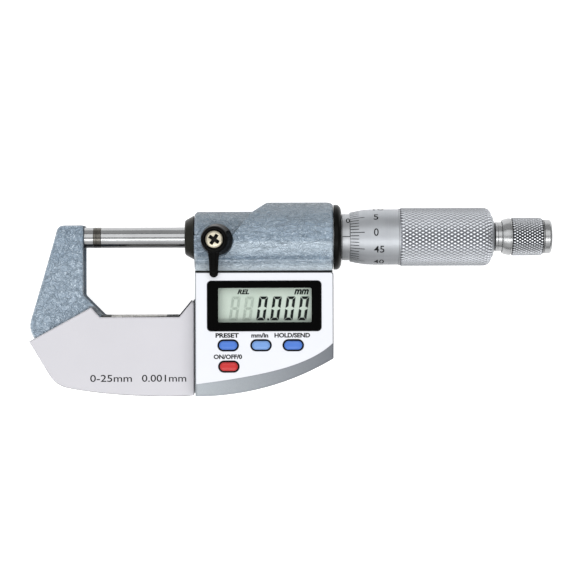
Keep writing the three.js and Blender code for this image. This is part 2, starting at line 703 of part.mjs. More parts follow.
place('lock_washer', lockWasher(), steel);
place('lock_lever', lockLever(), blackPlastic);
place('lock_bolt', lockBolt(), steel);
place('lock_screw', lockScrew(), screwNickel);
place('lock_shoe', post(LOCK_X, LOCK_Y, 1.5, 3.42, 5.4), brass);

place('spindle', spindleSolid(), steel);
place('spindle_tip', rod(FACE_GAP, CARBIDE_T, SPINDLE_R, 32), carbide);
place('thimble', thimbleSolid(), satinChrome);
place('ratchet_stem', ratchetStem(), steel);
place('ratchet_spring', ratchetSpring(), steel);
place('ratchet_disc', ratchetDisc(), steel);
place('ratchet_screw', ratchetScrew(), steel);
place('ratchet_knob', ratchetKnob(), satinChrome);
place('ratchet_end_cap', ratchetEndCap(), satinChrome);

export default micrometer;
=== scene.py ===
"""Digital outside micrometer, lying on its back: surfaces, markings and studio around the CAD frame."""

import json
import math

import bmesh
import bpy
from mathutils import Matrix, Vector, noise


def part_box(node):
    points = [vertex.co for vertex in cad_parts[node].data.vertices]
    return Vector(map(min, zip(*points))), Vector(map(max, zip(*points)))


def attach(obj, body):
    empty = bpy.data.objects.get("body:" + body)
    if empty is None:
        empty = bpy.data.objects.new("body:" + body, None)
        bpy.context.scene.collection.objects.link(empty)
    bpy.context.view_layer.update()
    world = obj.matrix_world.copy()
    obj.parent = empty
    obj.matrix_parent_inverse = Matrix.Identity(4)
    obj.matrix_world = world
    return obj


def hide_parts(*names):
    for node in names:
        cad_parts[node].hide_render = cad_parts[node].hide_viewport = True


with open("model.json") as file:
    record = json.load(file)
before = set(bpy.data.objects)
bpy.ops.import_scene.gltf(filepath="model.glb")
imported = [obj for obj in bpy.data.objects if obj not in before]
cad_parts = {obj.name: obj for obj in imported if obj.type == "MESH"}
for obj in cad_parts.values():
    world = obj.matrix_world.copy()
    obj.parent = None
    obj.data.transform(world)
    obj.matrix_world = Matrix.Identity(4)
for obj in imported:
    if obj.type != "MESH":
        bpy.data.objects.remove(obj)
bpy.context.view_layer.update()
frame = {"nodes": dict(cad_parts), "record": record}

MM = 0.001
TAU = 2 * math.pi
scene = bpy.context.scene

# Everything is worked out in millimetres from the middle of the anvil's measuring face,
# with X along the spindle, and set into the row frame at the end.
tip_low, tip_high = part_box("anvil_tip")
ORIGIN = Vector((tip_high.x, (tip_low.y + tip_high.y) / 2, (tip_low.z + tip_high.z) / 2))


def local_box(node):
    """A CAD node's lowest and highest corner in the working millimetres."""
    low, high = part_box(node)
    return (low - ORIGIN) / MM, (high - ORIGIN) / MM


# ---- materials


class Shader:
    """A Principled material with short calls for its procedural nodes."""

    def __init__(self, name):
        self.material = bpy.data.materials.new(name)
        self.material.use_nodes = True
        self.nodes = self.material.node_tree.nodes
        self.links = self.material.node_tree.links
        self.bsdf = self.nodes["Principled BSDF"]
        self.position = self.nodes.new("ShaderNodeTexCoord").outputs["Object"]

    def node(self, kind, **inputs):
        made = self.nodes.new(kind)
        for key, value in inputs.items():
            self.put(made.inputs[key.replace("_", " ")], value)
        return made

    def put(self, socket, value):
        """Links another node's output to a socket, or sets the socket's own number or colour."""
        if isinstance(value, bpy.types.NodeSocket):
            self.links.new(value, socket)
        else:
            socket.default_value = (*value, 1.0) if socket.type == "RGBA" else value

    def set(self, **sockets):
        for key, value in sockets.items():
            self.put(self.bsdf.inputs[key.replace("_", " ")], value)

    def finish(self, color, grain, roughness, depth, strength, **sockets):
        """A material whose grain drives its roughness, between two values, and its bump."""
        normal = self.bump(grain, depth, strength)
        self.set(Base_Color=color, Roughness=self.spread(grain, *roughness), Normal=normal, **sockets)
        return self.material

    def xyz(self, vector):
        """The three numbers of a vector, as sockets."""
        return self.node("ShaderNodeSeparateXYZ", Vector=vector).outputs[:3]

    def facing(self):
        """The direction that the surface faces, as three sockets."""
        return self.xyz(self.nodes.new("ShaderNodeNewGeometry").outputs["Normal"])

    def stretched(self, scale, turn=(0.0, 0.0, 0.0)):
        mapping = self.node("ShaderNodeMapping", Vector=self.position, Scale=scale, Rotation=turn)
        return mapping.outputs["Vector"]

    def noise(self, scale, detail=3.0, rough=0.55, vector=None, distortion=0.0):
        made = self.node("ShaderNodeTexNoise", Vector=vector or self.position, Scale=scale, Detail=detail,
                         Roughness=rough, Distortion=distortion)
        return made.outputs["Fac"]

    def math(self, operation, *values):
        made = self.nodes.new("ShaderNodeMath")
        made.operation = operation
        for socket, value in zip(made.inputs, values):
            self.put(socket, value)
        return made.outputs[0]

    def plus(self, a, b):
        return self.math("ADD", a, b)

    def minus(self, a, b):
        return self.math("SUBTRACT", a, b)

    def times(self, a, b):
        return self.math("MULTIPLY", a, b)

    def past(self, value, limit):
        """1 where the value is above the limit, 0 elsewhere."""
        return self.math("GREATER_THAN", value, limit)

    def within(self, value, limits, origin):
        """1 between two limits, given in millimetres from an origin in metres."""
        low, high = (origin + limit * MM for limit in limits)
        return self.times(self.past(value, low), self.math("LESS_THAN", value, high))

    def remap(self, value, low, high, to_low=0.0, to_high=1.0):
        made = self.nodes.new("ShaderNodeMapRange")
        for socket, number in zip(made.inputs, (value, low, high, to_low, to_high)):
            self.put(socket, number)
        return made.outputs[0]

    def spread(self, noise, low, high):
        """The middle of a noise's range, spread out between two numbers."""
        return self.remap(noise, 0.3, 0.7, low, high)

    def blend(self, noise, dark, light):
        return self.mix(self.remap(noise, 0.3, 0.7), dark, light)

    def ramp(self, value, stops):
        made = self.nodes.new("ShaderNodeValToRGB")
        self.put(made.inputs["Fac"], value)
        ramp = made.color_ramp
        while len(ramp.elements) < len(stops):
            ramp.elements.new(0.5)
        for element, (at, color) in zip(ramp.elements, stops):
            element.position = at
            element.color = (*color, 1.0)
        return made.outputs["Color"]

    def mix(self, factor, a, b):
        made = self.nodes.new("ShaderNodeMix")
        made.data_type = "RGBA"
        for socket, value in ((0, factor), (6, a), (7, b)):
            self.put(made.inputs[socket], value)
        return made.outputs[2]

    def bump(self, height, distance, strength=1.0):
        made = self.node("ShaderNodeBump", Height=height, Distance=distance, Strength=strength)
        return made.outputs["Normal"]


def linear(red, green, blue):
    """A colour given as 0 to 255 display values, made linear."""
    def one(value):
        value /= 255
        return value / 12.92 if value <= 0.04045 else ((value + 0.055) / 1.055) ** 2.4
    return one(red), one(green), one(blue)


# Where the casting's features lie, and where painted shade and light go on it, in the working millimetres.
BEHIND_NOSE_X = 29
BARREL_FOOT_Z = 6.4
SHELF_Y = -7.3
SHELF_SLOPE_Z = (7.9, 10.2)
THROAT_FLOOR_X, THROAT_FLOOR_Y = (1.9, 27.2), (-25.2, -24.0)
SHADED_ENDS_X = ((1.9, 5.1), (22.3, 27.2))
LEFT_CORNER_SUM, LEFT_CORNER_Y = (-23.6, -21.0), (-24.3, -21.4)
SLOT_X, SLOT_Y = (30.5, 31.8), (-60, -18.8)
RIGHT_CORNER_X, RIGHT_CORNER_Y = (26.2, 31.8), (-25.2, -18.6)


def hammered_paint():
    """Hammer-finish enamel: small soft-edged dimples in the coat, with a paler colour along their rims that
    is painted highlight.
    """
    s = Shader("hammered_paint")
    x, y, z = s.xyz(s.position)
    behind_nose = s.past(x, ORIGIN.x + BEHIND_NOSE_X * MM)

    # The rims run as worms, which are drawn out along X on the barrel.
    on_barrel = s.times(s.past(z, ORIGIN.z + BARREL_FOOT_Z * MM), behind_nose)
    even = s.noise(560, 2.5, 0.5, distortion=1.2)
    drawn_out = s.noise(560, 3.0, 0.55, vector=s.stretched((0.58, 1.15, 1.15)), distortion=1.2)
    flow = s.plus(even, s.times(on_barrel, s.minus(drawn_out, even)))
    worms = s.math("ABSOLUTE", s.minus(flow, 0.5))
    rim = s.remap(worms, 0.0, 0.03, 1.0, 0.0)
    dimple = s.remap(worms, 0.0, 0.13, 1.0, 0.0)
    speck = s.noise(1900, 2.0)
    cloud = s.times(s.minus(s.noise(110, 2.0), 0.5), 0.2)
    tone = s.plus(s.plus(s.plus(s.times(dimple, 0.12), s.times(speck, 0.42)), 0.06), cloud)
    color = s.ramp(tone, [
        (0.1, linear(101, 118, 134)), (0.3, linear(116, 133, 149)),
        (0.5, linear(129, 146, 161)), (0.8, linear(147, 163, 177)),
    ])
    # Painted highlight: the rims' paler colour stands in for glints on the dimples' edges.
    flake = s.times(rim, s.remap(speck, 0.42, 0.6, 0.0, 0.55))
    color = s.mix(flake, color, linear(206, 218, 228))

    # Painted shade: surfaces that face sideways are darker, and so is the barrel's crest; painted light: the
    # barrel's lower flank is paler.
    _, facing_y, facing_z = s.facing()
    shade = s.remap(s.math("ABSOLUTE", facing_z), 0.05, 0.7, 0.8, 0.0)
    color = s.mix(shade, color, linear(36, 46, 56))
    lit_flank = s.times(s.remap(facing_y, -0.05, -0.2, 0.0, 0.34), s.remap(facing_y, -0.4, -0.6, 1.0, 0.0))
    color = s.mix(s.times(lit_flank, s.minus(1.0, shade)), color, linear(212, 225, 234))
    above_shelf = s.past(y, ORIGIN.y + SHELF_Y * MM)
    crest = s.times(s.remap(facing_y, 0.2, 0.6, 0.0, 0.62), s.times(above_shelf, behind_nose))
    color = s.mix(crest, color, linear(74, 92, 104))

    # Painted light: the shelf at the barrel's foot is painted paler, for the light it would catch from the
    # white housing beside it.
    low, high = (ORIGIN.z + height * MM for height in SHELF_SLOPE_Z)
    lit_shelf = s.times(s.minus(1.0, above_shelf), s.remap(z, low, high, 0.05, 0.8))
    color = s.mix(lit_shelf, color, linear(226, 238, 246))

    s.set(Base_Color=recess_tint(s, color), Metallic=0.1)
    s.set(Roughness=s.remap(tone, 0.1, 0.9, 0.4, 0.26))
    gloss = s.minus(0.8, shade)
    s.set(Coat_Weight=gloss, Coat_Roughness=0.12, Specular_IOR_Level=s.times(gloss, 0.6))
    hammer = s.bump(s.plus(s.times(dimple, 0.7), s.times(speck, 0.3)), 0.0004)
    s.set(Normal=hammer, Coat_Normal=hammer)
    return s.material


def recess_tint(s, color):
    """The unpainted throat floor, and painted shade at the floor's two chamfered ends, along the left
    corner, in the slot beside the housing and in the right corner.
    """
    x, y, _ = s.xyz(s.position)
    in_floor = s.within(y, THROAT_FLOOR_Y, ORIGIN.y)
    floor_band = s.times(in_floor, s.within(x, THROAT_FLOOR_X, ORIGIN.x))
    color = s.mix(floor_band, color, linear(186, 184, 180))
    # Painted shade at the floor's two chamfered ends.
    for end_x in SHADED_ENDS_X:
        color = s.mix(s.times(in_floor, s.within(x, end_x, ORIGIN.x)), color, linear(20, 20, 20))
    # Painted shade along the throat's left corner.
    diagonal = s.within(s.plus(x, y), LEFT_CORNER_SUM, ORIGIN.x + ORIGIN.y)
    left_corner = s.times(diagonal, s.within(y, LEFT_CORNER_Y, ORIGIN.y))
    color = s.mix(left_corner, color, linear(84, 91, 98))
    # Painted shade in the slot beside the housing and in the throat's right corner.
    slot = s.times(s.within(y, SLOT_Y, ORIGIN.y), s.within(x, SLOT_X, ORIGIN.x))
    right_corner = s.times(s.within(y, RIGHT_CORNER_Y, ORIGIN.y), s.within(x, RIGHT_CORNER_X, ORIGIN.x))
    return s.mix(s.math("MAXIMUM", slot, right_corner), color, linear(18, 19, 22))


def darker_flanks(s, color, start, full, share, both=False):
    """Painted shade: turned parts go darker towards the side that faces the housing (-Y), or towards both
    sides.
    """
    _, facing_y, _ = s.facing()
    sideways = s.math("ABSOLUTE", facing_y) if both else s.times(facing_y, -1.0)
    return s.mix(s.remap(sideways, start, full, 0.0, share), color, linear(46, 46, 46))


def turned_metal(name, color, roughness, line_scale, line_depth, underside):
    """Metal ground or turned about X: fine rings across the axis, a little dulling and handling marks."""
    s = Shader(name)
    rings = s.noise(1.0, 4.0, 0.7, vector=s.stretched((line_scale, 60, 60)))
    cloud = s.noise(90, 3.0)
    grit = s.noise(6000, 2.0)
    dark = tuple(c * 0.88 for c in color)
    tone = s.mix(s.remap(cloud, 0.35, 0.65), dark, color)
    # Painted shade on the side that faces -Y.
    s.set(Base_Color=darker_flanks(s, tone, 0.62, 0.84, underside), Metallic=1.0)
    s.set(Roughness=s.plus(s.spread(rings, roughness * 0.85, roughness * 1.15),
                           s.spread(cloud, -0.02, 0.03)))
    s.set(Normal=s.bump(s.plus(rings, s.times(grit, 0.4)), line_depth, 0.6))
    return s.material


def knurled_metal(name, color, groove_shade_dark, groove_shade_light, roughness):
    """Turned metal with painted shade in its knurl's grooves, as the mesh's "height" values tell, and on its
    flanks that face +Y and -Y.
    """
    s = Shader(name)
    attribute = s.nodes.new("ShaderNodeAttribute")
    attribute.attribute_name = "height"
    cloud = s.noise(120, 3.0)
    grit = s.noise(4200, 2.0)
    # Painted shade in the knurl's grooves, between its darkest and lightest colour.
    film = s.mix(cloud, groove_shade_dark, groove_shade_light)
    tone = darker_flanks(s, s.mix(attribute.outputs["Fac"], film, color), 0.25, 0.8, 0.64, both=True)
    return s.finish(tone, grit, (roughness * 0.85, roughness * 1.2), 0.000006, 0.5, Metallic=1.0)


def plain_metal(name, color, roughness):
    """Polished metal with faint hairline scratches."""
    s = Shader(name)
    cloud = s.noise(260, 3.0)
    hair = s.noise(1.0, 3.0, 0.6, vector=s.stretched((900, 9000, 3000), (0.3, 0.2, 0.7)))
    dark = tuple(c * 0.82 for c in color)
    tone = s.blend(cloud, dark, color)
    return s.finish(tone, hair, (roughness * 0.8, roughness * 1.25), 0.000012, 0.5, Metallic=1.0)


def plastic(name, color, roughness, texture, depth, variation, coat=0.0, gloss=0.5):
    """Moulded plastic or film: faint clouding, fine surface grain and uneven gloss."""
    s = Shader(name)
    cloud = s.noise(70, 3.0)
    grain = s.noise(texture, 2.0)
    light = tuple(min(1.0, c * (1 + variation)) for c in color)
    dark = tuple(c * (1 - variation) for c in color)
    return s.finish(s.blend(cloud, dark, light), grain, (roughness * 0.88, roughness * 1.12), depth, 0.5,
                    Coat_Weight=coat, Coat_Roughness=0.08, Specular_IOR_Level=gloss)


def silver_plastic():
    """Silver-painted moulding with painted shade that darkens it towards the ratchet end."""
    s = Shader("silver_plastic")
    left, right = (ORIGIN.x + x * MM for x in (31, 74))
    along = s.remap(s.xyz(s.position)[0], left, right)
    flake = s.noise(5200, 2.0)
    pale = s.blend(flake, linear(145, 151, 156), linear(153, 159, 164))
    deep = s.blend(flake, linear(88, 92, 98), linear(96, 100, 106))
    return s.finish(s.mix(along, pale, deep), flake, (0.36, 0.44), 0.00001, 0.4, Metallic=0.2)


def printed_ink(name, color):
    """Ink with a slightly patchy cover."""
    s = Shader(name)
    s.set(Base_Color=s.mix(s.remap(s.noise(2400, 2.0), 0.35, 0.7), color, tuple(c * 0.7 for c in color)))
    s.set(Roughness=s.spread(s.noise(5000, 1.0), 0.45, 0.6), Specular_IOR_Level=0.08)
    return s.material


def window_plastic():
    """Clear plastic with a faint smear."""
    s = Shader("window_plastic")
    smear = s.noise(160, 3.0)
    s.set(Base_Color=s.mix(smear, (0.03, 0.04, 0.035), (0.06, 0.07, 0.065)), Alpha=0.08)
    s.set(Roughness=s.spread(smear, 0.03, 0.07), IOR=1.49)
    return s.material


def liquid_crystal():
    """The display's grey-green glass."""
    s = Shader("liquid_crystal")
    cloud = s.noise(110, 2.0)
    pixel = s.noise(9000, 1.0)
    tone = s.blend(cloud, linear(193, 208, 195), linear(203, 217, 205))
    return s.finish(tone, pixel, (0.3, 0.4), 0.000004, 0.3)


def circuit_board():
    """Green board with the glass weave showing."""
    s = Shader("circuit_board")
    warp, weft = (s.noise(1.0, 1.0, vector=s.stretched(size))
                  for size in ((4000, 300, 300), (300, 4000, 300)))
    weave = s.times(warp, weft)
    s.set(Base_Color=s.mix(s.remap(weave, 0.15, 0.4), linear(22, 78, 46), linear(40, 112, 68)))
    s.set(Roughness=s.remap(weave, 0.15, 0.4, 0.5, 0.35), Normal=s.bump(weave, 0.00002, 0.4))
    return s.material


STEEL = linear(151, 152, 153)
SATIN = linear(161, 164, 168)
KNURL = linear(224, 227, 232)

MATERIALS = {
    "paint": hammered_paint(),
    "silver_plastic": silver_plastic(),
    "window": window_plastic(),
    "lcd": liquid_crystal(),
    "board": circuit_board(),
}
# Colour, roughness, rings per metre, their depth in metres, and the share of painted shade on the side at
# -Y.
for name, *finish in (
    ("ground_steel", STEEL, 0.16, 9000, 0.000004, 0.75),
    ("carbide", linear(84, 82, 78), 0.2, 9000, 0.000003, 0.75),
    ("satin_chrome", SATIN, 0.48, 5000, 0.00001, 0.4),
    ("sleeve_chrome", linear(162, 164, 167), 0.45, 5000, 0.00001, 0.4),
):
    MATERIALS[name] = turned_metal(name, *finish)
# The darkest and lightest colours of the painted shade in the grooves, and the roughness.
for name, *finish in (
    ("thimble_knurl", linear(120, 122, 127), linear(150, 153, 159), 0.56),
    ("ratchet_knurl", linear(28, 28, 30), linear(58, 59, 62), 0.44),
):
    MATERIALS[name] = knurled_metal(name, KNURL, *finish)
for name, *finish in (
    ("bright_steel", STEEL, 0.26),
    ("brass", linear(196, 158, 92), 0.3),
    ("nickel", linear(188, 182, 164), 0.34),
):
    MATERIALS[name] = plain_metal(name, *finish)
# Colour, roughness, grains per metre, their depth in metres, variation in tone, clear coat and gloss.
for name, *finish in (
    ("white_plastic", linear(181, 180, 185), 0.5, 1900, 0.00002, 0.015),
    ("face_film", linear(204, 206, 211), 0.42, 3000, 0.00001, 0.01, 0.0, 0.3),
    ("black_plastic", linear(34, 34, 30), 0.3, 1500, 0.00003, 0.15, 0.0, 0.12),
    ("ring_plastic", linear(10, 10, 9), 0.3, 1500, 0.00003, 0.15, 0.0, 0.05),
    ("black_gloss", linear(5, 5, 5), 0.3, 1200, 0.00001, 0.15, 0.0, 0.01),
    ("lever_plastic", linear(8, 8, 8), 0.2, 1200, 0.00001, 0.15, 0.0, 0.05),
    # The recess finish is a near-black for painted shade in screw recesses.
    ("recess", linear(14, 13, 12), 0.5, 2500, 0.00001, 0.2, 0.0, 0.1),
    ("rubber", linear(12, 12, 12), 0.75, 3500, 0.00005, 0.15, 0.0, 0.2),
    ("flex", linear(190, 128, 52), 0.4, 1800, 0.00001, 0.1),
    ("blue", linear(58, 104, 184), 0.24, 1600, 0.00001, 0.05, 0.35),
    ("light_blue", linear(98, 136, 190), 0.24, 1600, 0.00001, 0.05, 0.35),
    ("red", linear(172, 22, 22), 0.24, 1600, 0.00001, 0.05, 0.35),
):
    MATERIALS[name] = plastic(name, *finish)
for name, color in (
    ("ink", linear(30, 30, 32)),
    ("scale_ink", linear(24, 25, 27)),
    ("segment", linear(8, 16, 15)),
    ("ghost_segment", linear(184, 198, 186)),
):
    MATERIALS[name] = printed_ink(name, color)

# ---- mesh building


def mesh_from(bm, name):
    """A mesh with what a bmesh holds; the bmesh is freed."""
    mesh = bpy.data.meshes.new(name)
    bm.to_mesh(mesh)
    bm.free()
    return mesh


def linked(name, data):
    """A new object in the scene."""
    made = bpy.data.objects.new(name, data)
    scene.collection.objects.link(made)
    return made


def consumed(holder):
    """The shape of a helper object, with its modifiers, as a bmesh; the object is removed."""
    graph = bpy.context.evaluated_depsgraph_get()
    mesh = bpy.data.meshes.new_from_object(holder.evaluated_get(graph))
    bpy.data.objects.remove(holder)
    bm = bmesh.new()
    bm.from_mesh(mesh)
    bpy.data.meshes.remove(mesh)
    return bm


def join(bm, other):
    """Adds another bmesh to this one, and frees it."""
    copy = mesh_from(other, "joined")
    bm.from_mesh(copy)
    bpy.data.meshes.remove(copy)


def build(name, bm, body, materials, smooth=35, replaces=()):
    """Turns a bmesh in working millimetres into a piece of the object, in metres in the row frame."""
    bmesh.ops.recalc_face_normals(bm, faces=bm.faces)
    bm.transform(Matrix.Translation(ORIGIN) @ Matrix.Scale(MM, 4))
    piece = linked(name, mesh_from(bm, name))
    for key in [materials] if isinstance(materials, str) else materials:
        piece.data.materials.append(MATERIALS[key])
    piece.data.polygons.foreach_set("use_smooth", [True] * len(piece.data.polygons))
    piece.data.set_sharp_from_angle(angle=math.radians(smooth))
    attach(piece, body)
    if replaces:
        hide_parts(*replaces)
    return piece


def ring_point(x, radius, angle):
    """A point at this angle round the spindle line, counted from +Z towards +Y."""
    return Vector((x, radius * math.sin(angle), radius * math.cos(angle)))


def bend(start, corner, end, steps):
    """Points on the quadratic curve that starts and ends along the lines through a corner."""
    start, corner, end = Vector(start), Vector(corner), Vector(end)
    parts = [k / steps for k in range(steps + 1)]
    return [start * (1 - t) ** 2 + corner * 2 * t * (1 - t) + end * t ** 2 for t in parts]


def rounded_profile(profile, radius):
    """Breaks each corner of an [along, radius] profile that is off the axis with a small bend."""
    points = [Vector(p) for p in profile]
    out = []
    for i, corner in enumerate(points):
        before, after = points[i - 1], points[(i + 1) % len(points)]
        back, ahead = before - corner, after - corner
        if corner.y < 1e-6 or back.length < 1e-6 or ahead.length < 1e-6:
            out.append(corner)
            continue
        reach = min(radius, back.length * 0.45, ahead.length * 0.45)
        out += bend(corner + back.normalized() * reach, corner, corner + ahead.normalized() * reach, 3)
    return out


def lathe_into(bm, profile, segments=96, place=ring_point):
    """Adds a closed profile turned about the spindle line; points at zero radius become one vertex."""
    rings = []
    for x, radius in profile:
        if radius < 1e-6:
            rings.append([bm.verts.new(place(x, 0, 0))])
        else:
            rings.append([bm.verts.new(place(x, radius, TAU * k / segments)) for k in range(segments)])
    for a, b in zip(rings, rings[1:] + rings[:1]):
        for k in range(segments):
            n = (k + 1) % segments
            corners = []
            for vert in (a[k % len(a)], a[n % len(a)], b[n % len(b)], b[k % len(b)]):
                if vert not in corners:
                    corners.append(vert)
            if len(corners) > 2:
                bm.faces.new(corners)


def lathe(name, profile, body, materials, replaces, edge, segments=96):
    """A turned piece about the spindle line, its corners broken by the edge width."""
    bm = bmesh.new()
    lathe_into(bm, rounded_profile(profile, edge), segments)
    build(name, bm, body, materials, 35, replaces)


def rod(name, node, body, material, radius, bore=0, edge=0.06, segments=96):
    """A plain rod or tube in the place of a CAD node."""
    low, high = local_box(node)
    profile = [(low.x, bore), (low.x, radius), (high.x, radius), (high.x, bore)]
    lathe(name, profile, body, material, [node], edge, segments)


def upright_lathe(x, y, profile, segments):
    """A closed [height, radius] profile turned about a line parallel to Z, as a new bmesh."""
    def place(z, radius, angle):
        return Vector((x + radius * math.cos(angle), y + radius * math.sin(angle), z))
    bm = bmesh.new()
    lathe_into(bm, profile, segments, place)
    return bm


def axis_of(node):
    """Where the middle of a CAD node lies, seen from above."""
    low, high = local_box(node)
    return (low.x + high.x) / 2, (low.y + high.y) / 2


def skin(bm, rings, material=0):
    """Faces from each closed ring of vertices to the next."""
    for a, b in zip(rings, rings[1:]):
        for k in range(len(a)):
            n = (k + 1) % len(a)
            bm.faces.new((a[k], a[n], b[n], b[k])).material_index = material


def box_mesh(x0, x1, y0, y1, z0, z1):
    bm = bmesh.new()
    bmesh.ops.create_cube(bm, size=1)
    middle = Vector(((x0 + x1) / 2, (y0 + y1) / 2, (z0 + z1) / 2))
    bmesh.ops.scale(bm, vec=(x1 - x0, y1 - y0, z1 - z0), verts=bm.verts)
    bmesh.ops.translate(bm, vec=middle, verts=bm.verts)
    return bm


def arc(cx, cy, radius, start, end, steps):
    """Points on an arc, angles in degrees."""
    spread = [math.radians(start + (end - start) * k / steps) for k in range(steps + 1)]
    return [(cx + radius * math.cos(a), cy + radius * math.sin(a)) for a in spread]


def bezier(p0, p1, p2, p3, steps):
    """Points on a cubic curve, without its first point."""
    p0, p1, p2, p3 = (Vector(p) for p in (p0, p1, p2, p3))
    parts = [k / steps for k in range(1, steps + 1)]
    return [tuple(p0 * (1 - t) ** 3 + p1 * 3 * t * (1 - t) ** 2 + p2 * 3 * t * t * (1 - t) + p3 * t ** 3)
            for t in parts]


def rounded_rect(x0, x1, y0, y1, radius):
    left, right, bottom, top = x0 + radius, x1 - radius, y0 + radius, y1 - radius
    out = []
    for quarter, (x, y) in enumerate(((right, top), (left, top), (left, bottom), (right, bottom))):
        out += arc(x, y, radius, quarter * 90, quarter * 90 + 90, 8)
    return out


def stadium(x, y, length, width):
    reach = (length - width) / 2
    return arc(x + reach, y, width / 2, -90, 90, 20) + arc(x - reach, y, width / 2, 90, 270, 20)


def slab_mesh(outlines, z0, z1, bevel):
    """An outline with holes, filled between two heights, with rounded edges."""
    curve = bpy.data.curves.new("outline", "CURVE")
    curve.dimensions = "2D"
    curve.fill_mode = "BOTH"
    curve.extrude = (z1 - z0) / 2 - bevel
    curve.bevel_depth = bevel
    curve.bevel_resolution = 3
    curve.offset = -bevel
    for outline in outlines:
        spline = curve.splines.new("POLY")
        spline.points.add(len(outline) - 1)
        for point, (x, y) in zip(spline.points, outline):
            point.co = (x, y, 0, 1)
        spline.use_cyclic_u = True
    bm = consumed(linked("outline", curve))
    bmesh.ops.remove_doubles(bm, verts=bm.verts, dist=1e-4)
    bmesh.ops.translate(bm, verts=bm.verts, vec=(0, 0, (z0 + z1) / 2))
    return bm


def weight_normals(piece):
    """Keeps flat faces evenly lit beside their rounded edges."""
    modifier = piece.modifiers.new("flat_faces", "WEIGHTED_NORMAL")
    modifier.keep_sharp = True
    modifier.weight = 80


def carved(base, cutter, operation="DIFFERENCE"):
    """The base bmesh with the cutter bmesh taken away or joined on."""
    holder, tool = linked("work", mesh_from(base, "work")), linked("work", mesh_from(cutter, "work"))
    modifier = holder.modifiers.new("cut", "BOOLEAN")
    modifier.operation = operation
    modifier.solver = "EXACT"
    modifier.object = tool
    bm = consumed(holder)
    bpy.data.objects.remove(tool)
    return bm


def rounded_solid(bm, voxel, keep):
    """Melts a closed mesh into one skin with softened edges, and keeps this share of its faces."""
    holder = linked("work", mesh_from(bm, "work"))
    remesh = holder.modifiers.new("skin", "REMESH")
    remesh.mode = "VOXEL"
    remesh.voxel_size = voxel
    smooth = holder.modifiers.new("soften", "SMOOTH")
    smooth.factor = 0.5
    smooth.iterations = 4
    holder.modifiers.new("thin", "DECIMATE").ratio = keep
    return consumed(holder)


# ---- lettering

INK_LIFT = 0.006


def text_mesh(words, size, weight=0.0, slant=0.0):
    """Letters as a thin plate in the XY plane, their left bottom corner near the origin."""
    curve = bpy.data.curves.new("words", "FONT")
    curve.body = words
    curve.size = size
    curve.offset = weight
    curve.shear = slant
    curve.extrude = 0.01
    curve.resolution_u = 4
    bm = consumed(linked("words", curve))
    bmesh.ops.remove_doubles(bm, verts=bm.verts, dist=1e-5)
    return bm


def fit_text(bm, x0, x1, y0, y1, z):
    """Stretches lettering to fill a box exactly, its underside at height z."""
    low = Vector(min(v.co[i] for v in bm.verts) for i in range(3))
    high = Vector(max(v.co[i] for v in bm.verts) for i in range(3))
    scale_x, scale_y = (x1 - x0) / (high.x - low.x), (y1 - y0) / (high.y - low.y)
    for v in bm.verts:
        v.co = Vector((x0 + (v.co.x - low.x) * scale_x, y0 + (v.co.y - low.y) * scale_y, z + v.co.z - low.z))
    return bm


def flat_text(name, words, x0, x1, y0, y1, z, material, weight, slant=0.0):
    """Printed words that lie flat on the fixed frame."""
    bm = fit_text(text_mesh(words, 3.0, weight, slant), x0, x1, y0, y1, z)
    build(name, bm, "frame", material, 30, ())


def wrap_on_barrel(bm, radius_at):
    """Bends flat lettering round the spindle line: Y becomes distance round, from the top."""
    low = min(v.co.y for v in bm.verts)
    high = max(v.co.y for v in bm.verts)
    cuts = max(2, int((high - low) / 0.25))
    for k in range(1, cuts):
        plane = Vector((0, low + (high - low) * k / cuts, 0))
        geometry = bm.verts[:] + bm.edges[:] + bm.faces[:]
        bmesh.ops.bisect_plane(bm, geom=geometry, plane_co=plane, plane_no=(0, 1, 0))
    for v in bm.verts:
        radius = radius_at(v.co.x)
        v.co = ring_point(v.co.x, radius + INK_LIFT + v.co.z, v.co.y / radius)


# ---- frame and spindle

SPINDLE_RADIUS = 3.25
THREAD_RADIUS = 3.65
SLEEVE_BORE = 6.45


def cad_copy(node):
    """A copy of a CAD node's mesh in working millimetres, with its split corners joined."""
    bm = bmesh.new()
    bm.from_mesh(frame["nodes"][node].data)
    bm.transform(Matrix.Scale(1 / MM, 4) @ Matrix.Translation(-ORIGIN))
    bmesh.ops.remove_doubles(bm, verts=bm.verts, dist=1e-3)
    return bm


def frame_casting():
    """The casting keeps the CAD shape, with its edges rounded and a slightly uneven painted skin."""
    unevenness = 0.03
    bm = rounded_solid(cad_copy("frame"), voxel=0.26, keep=0.33)
    bm.normal_update()
    for v in bm.verts:
        swell = noise.noise(v.co * 0.35) * 0.5 + noise.noise(v.co * 1.1) * 0.5
        v.co += v.normal * (swell * unevenness - unevenness)
    build("frame_casting", bm, "frame", "paint", 60, ["frame"])


def anvil():
    radius = local_box("anvil")[1].y
    rod("anvil_body", "anvil", "frame", "ground_steel", radius)
    rod("anvil_carbide", "anvil_tip", "frame", "carbide", radius)


def nose():
    """The collar that the spindle comes out of, and the black ring at the barrel's other end."""
    bore = 3.6
    low, high = local_box("front_collar")
    lathe("nose_collar", [
        (low.x, bore), (low.x, 5.15), (low.x + 0.3, 5.55), (high.x, high.y), (high.x, bore),
        (29.8, bore), (29.8, 4.65), (28.6, 4.65), (28.6, bore),
    ], "frame", "black_plastic", ["front_collar"], 0.2)
    low, high = local_box("rear_ring")
    lathe("barrel_end_ring", [
        (low.x, SLEEVE_BORE), (low.x, high.y - 0.1), (low.x + 0.1, high.y), (low.x + 1.1, high.y),
        (low.x + 1.55, 9.95), (low.x + 1.95, 9.5), (low.x + 2.25, 8.8), (high.x - 0.05, 8.0),
        (high.x, 7.5), (high.x, SLEEVE_BORE),
    ], "frame", "ring_plastic", ["rear_ring"], 0.25)


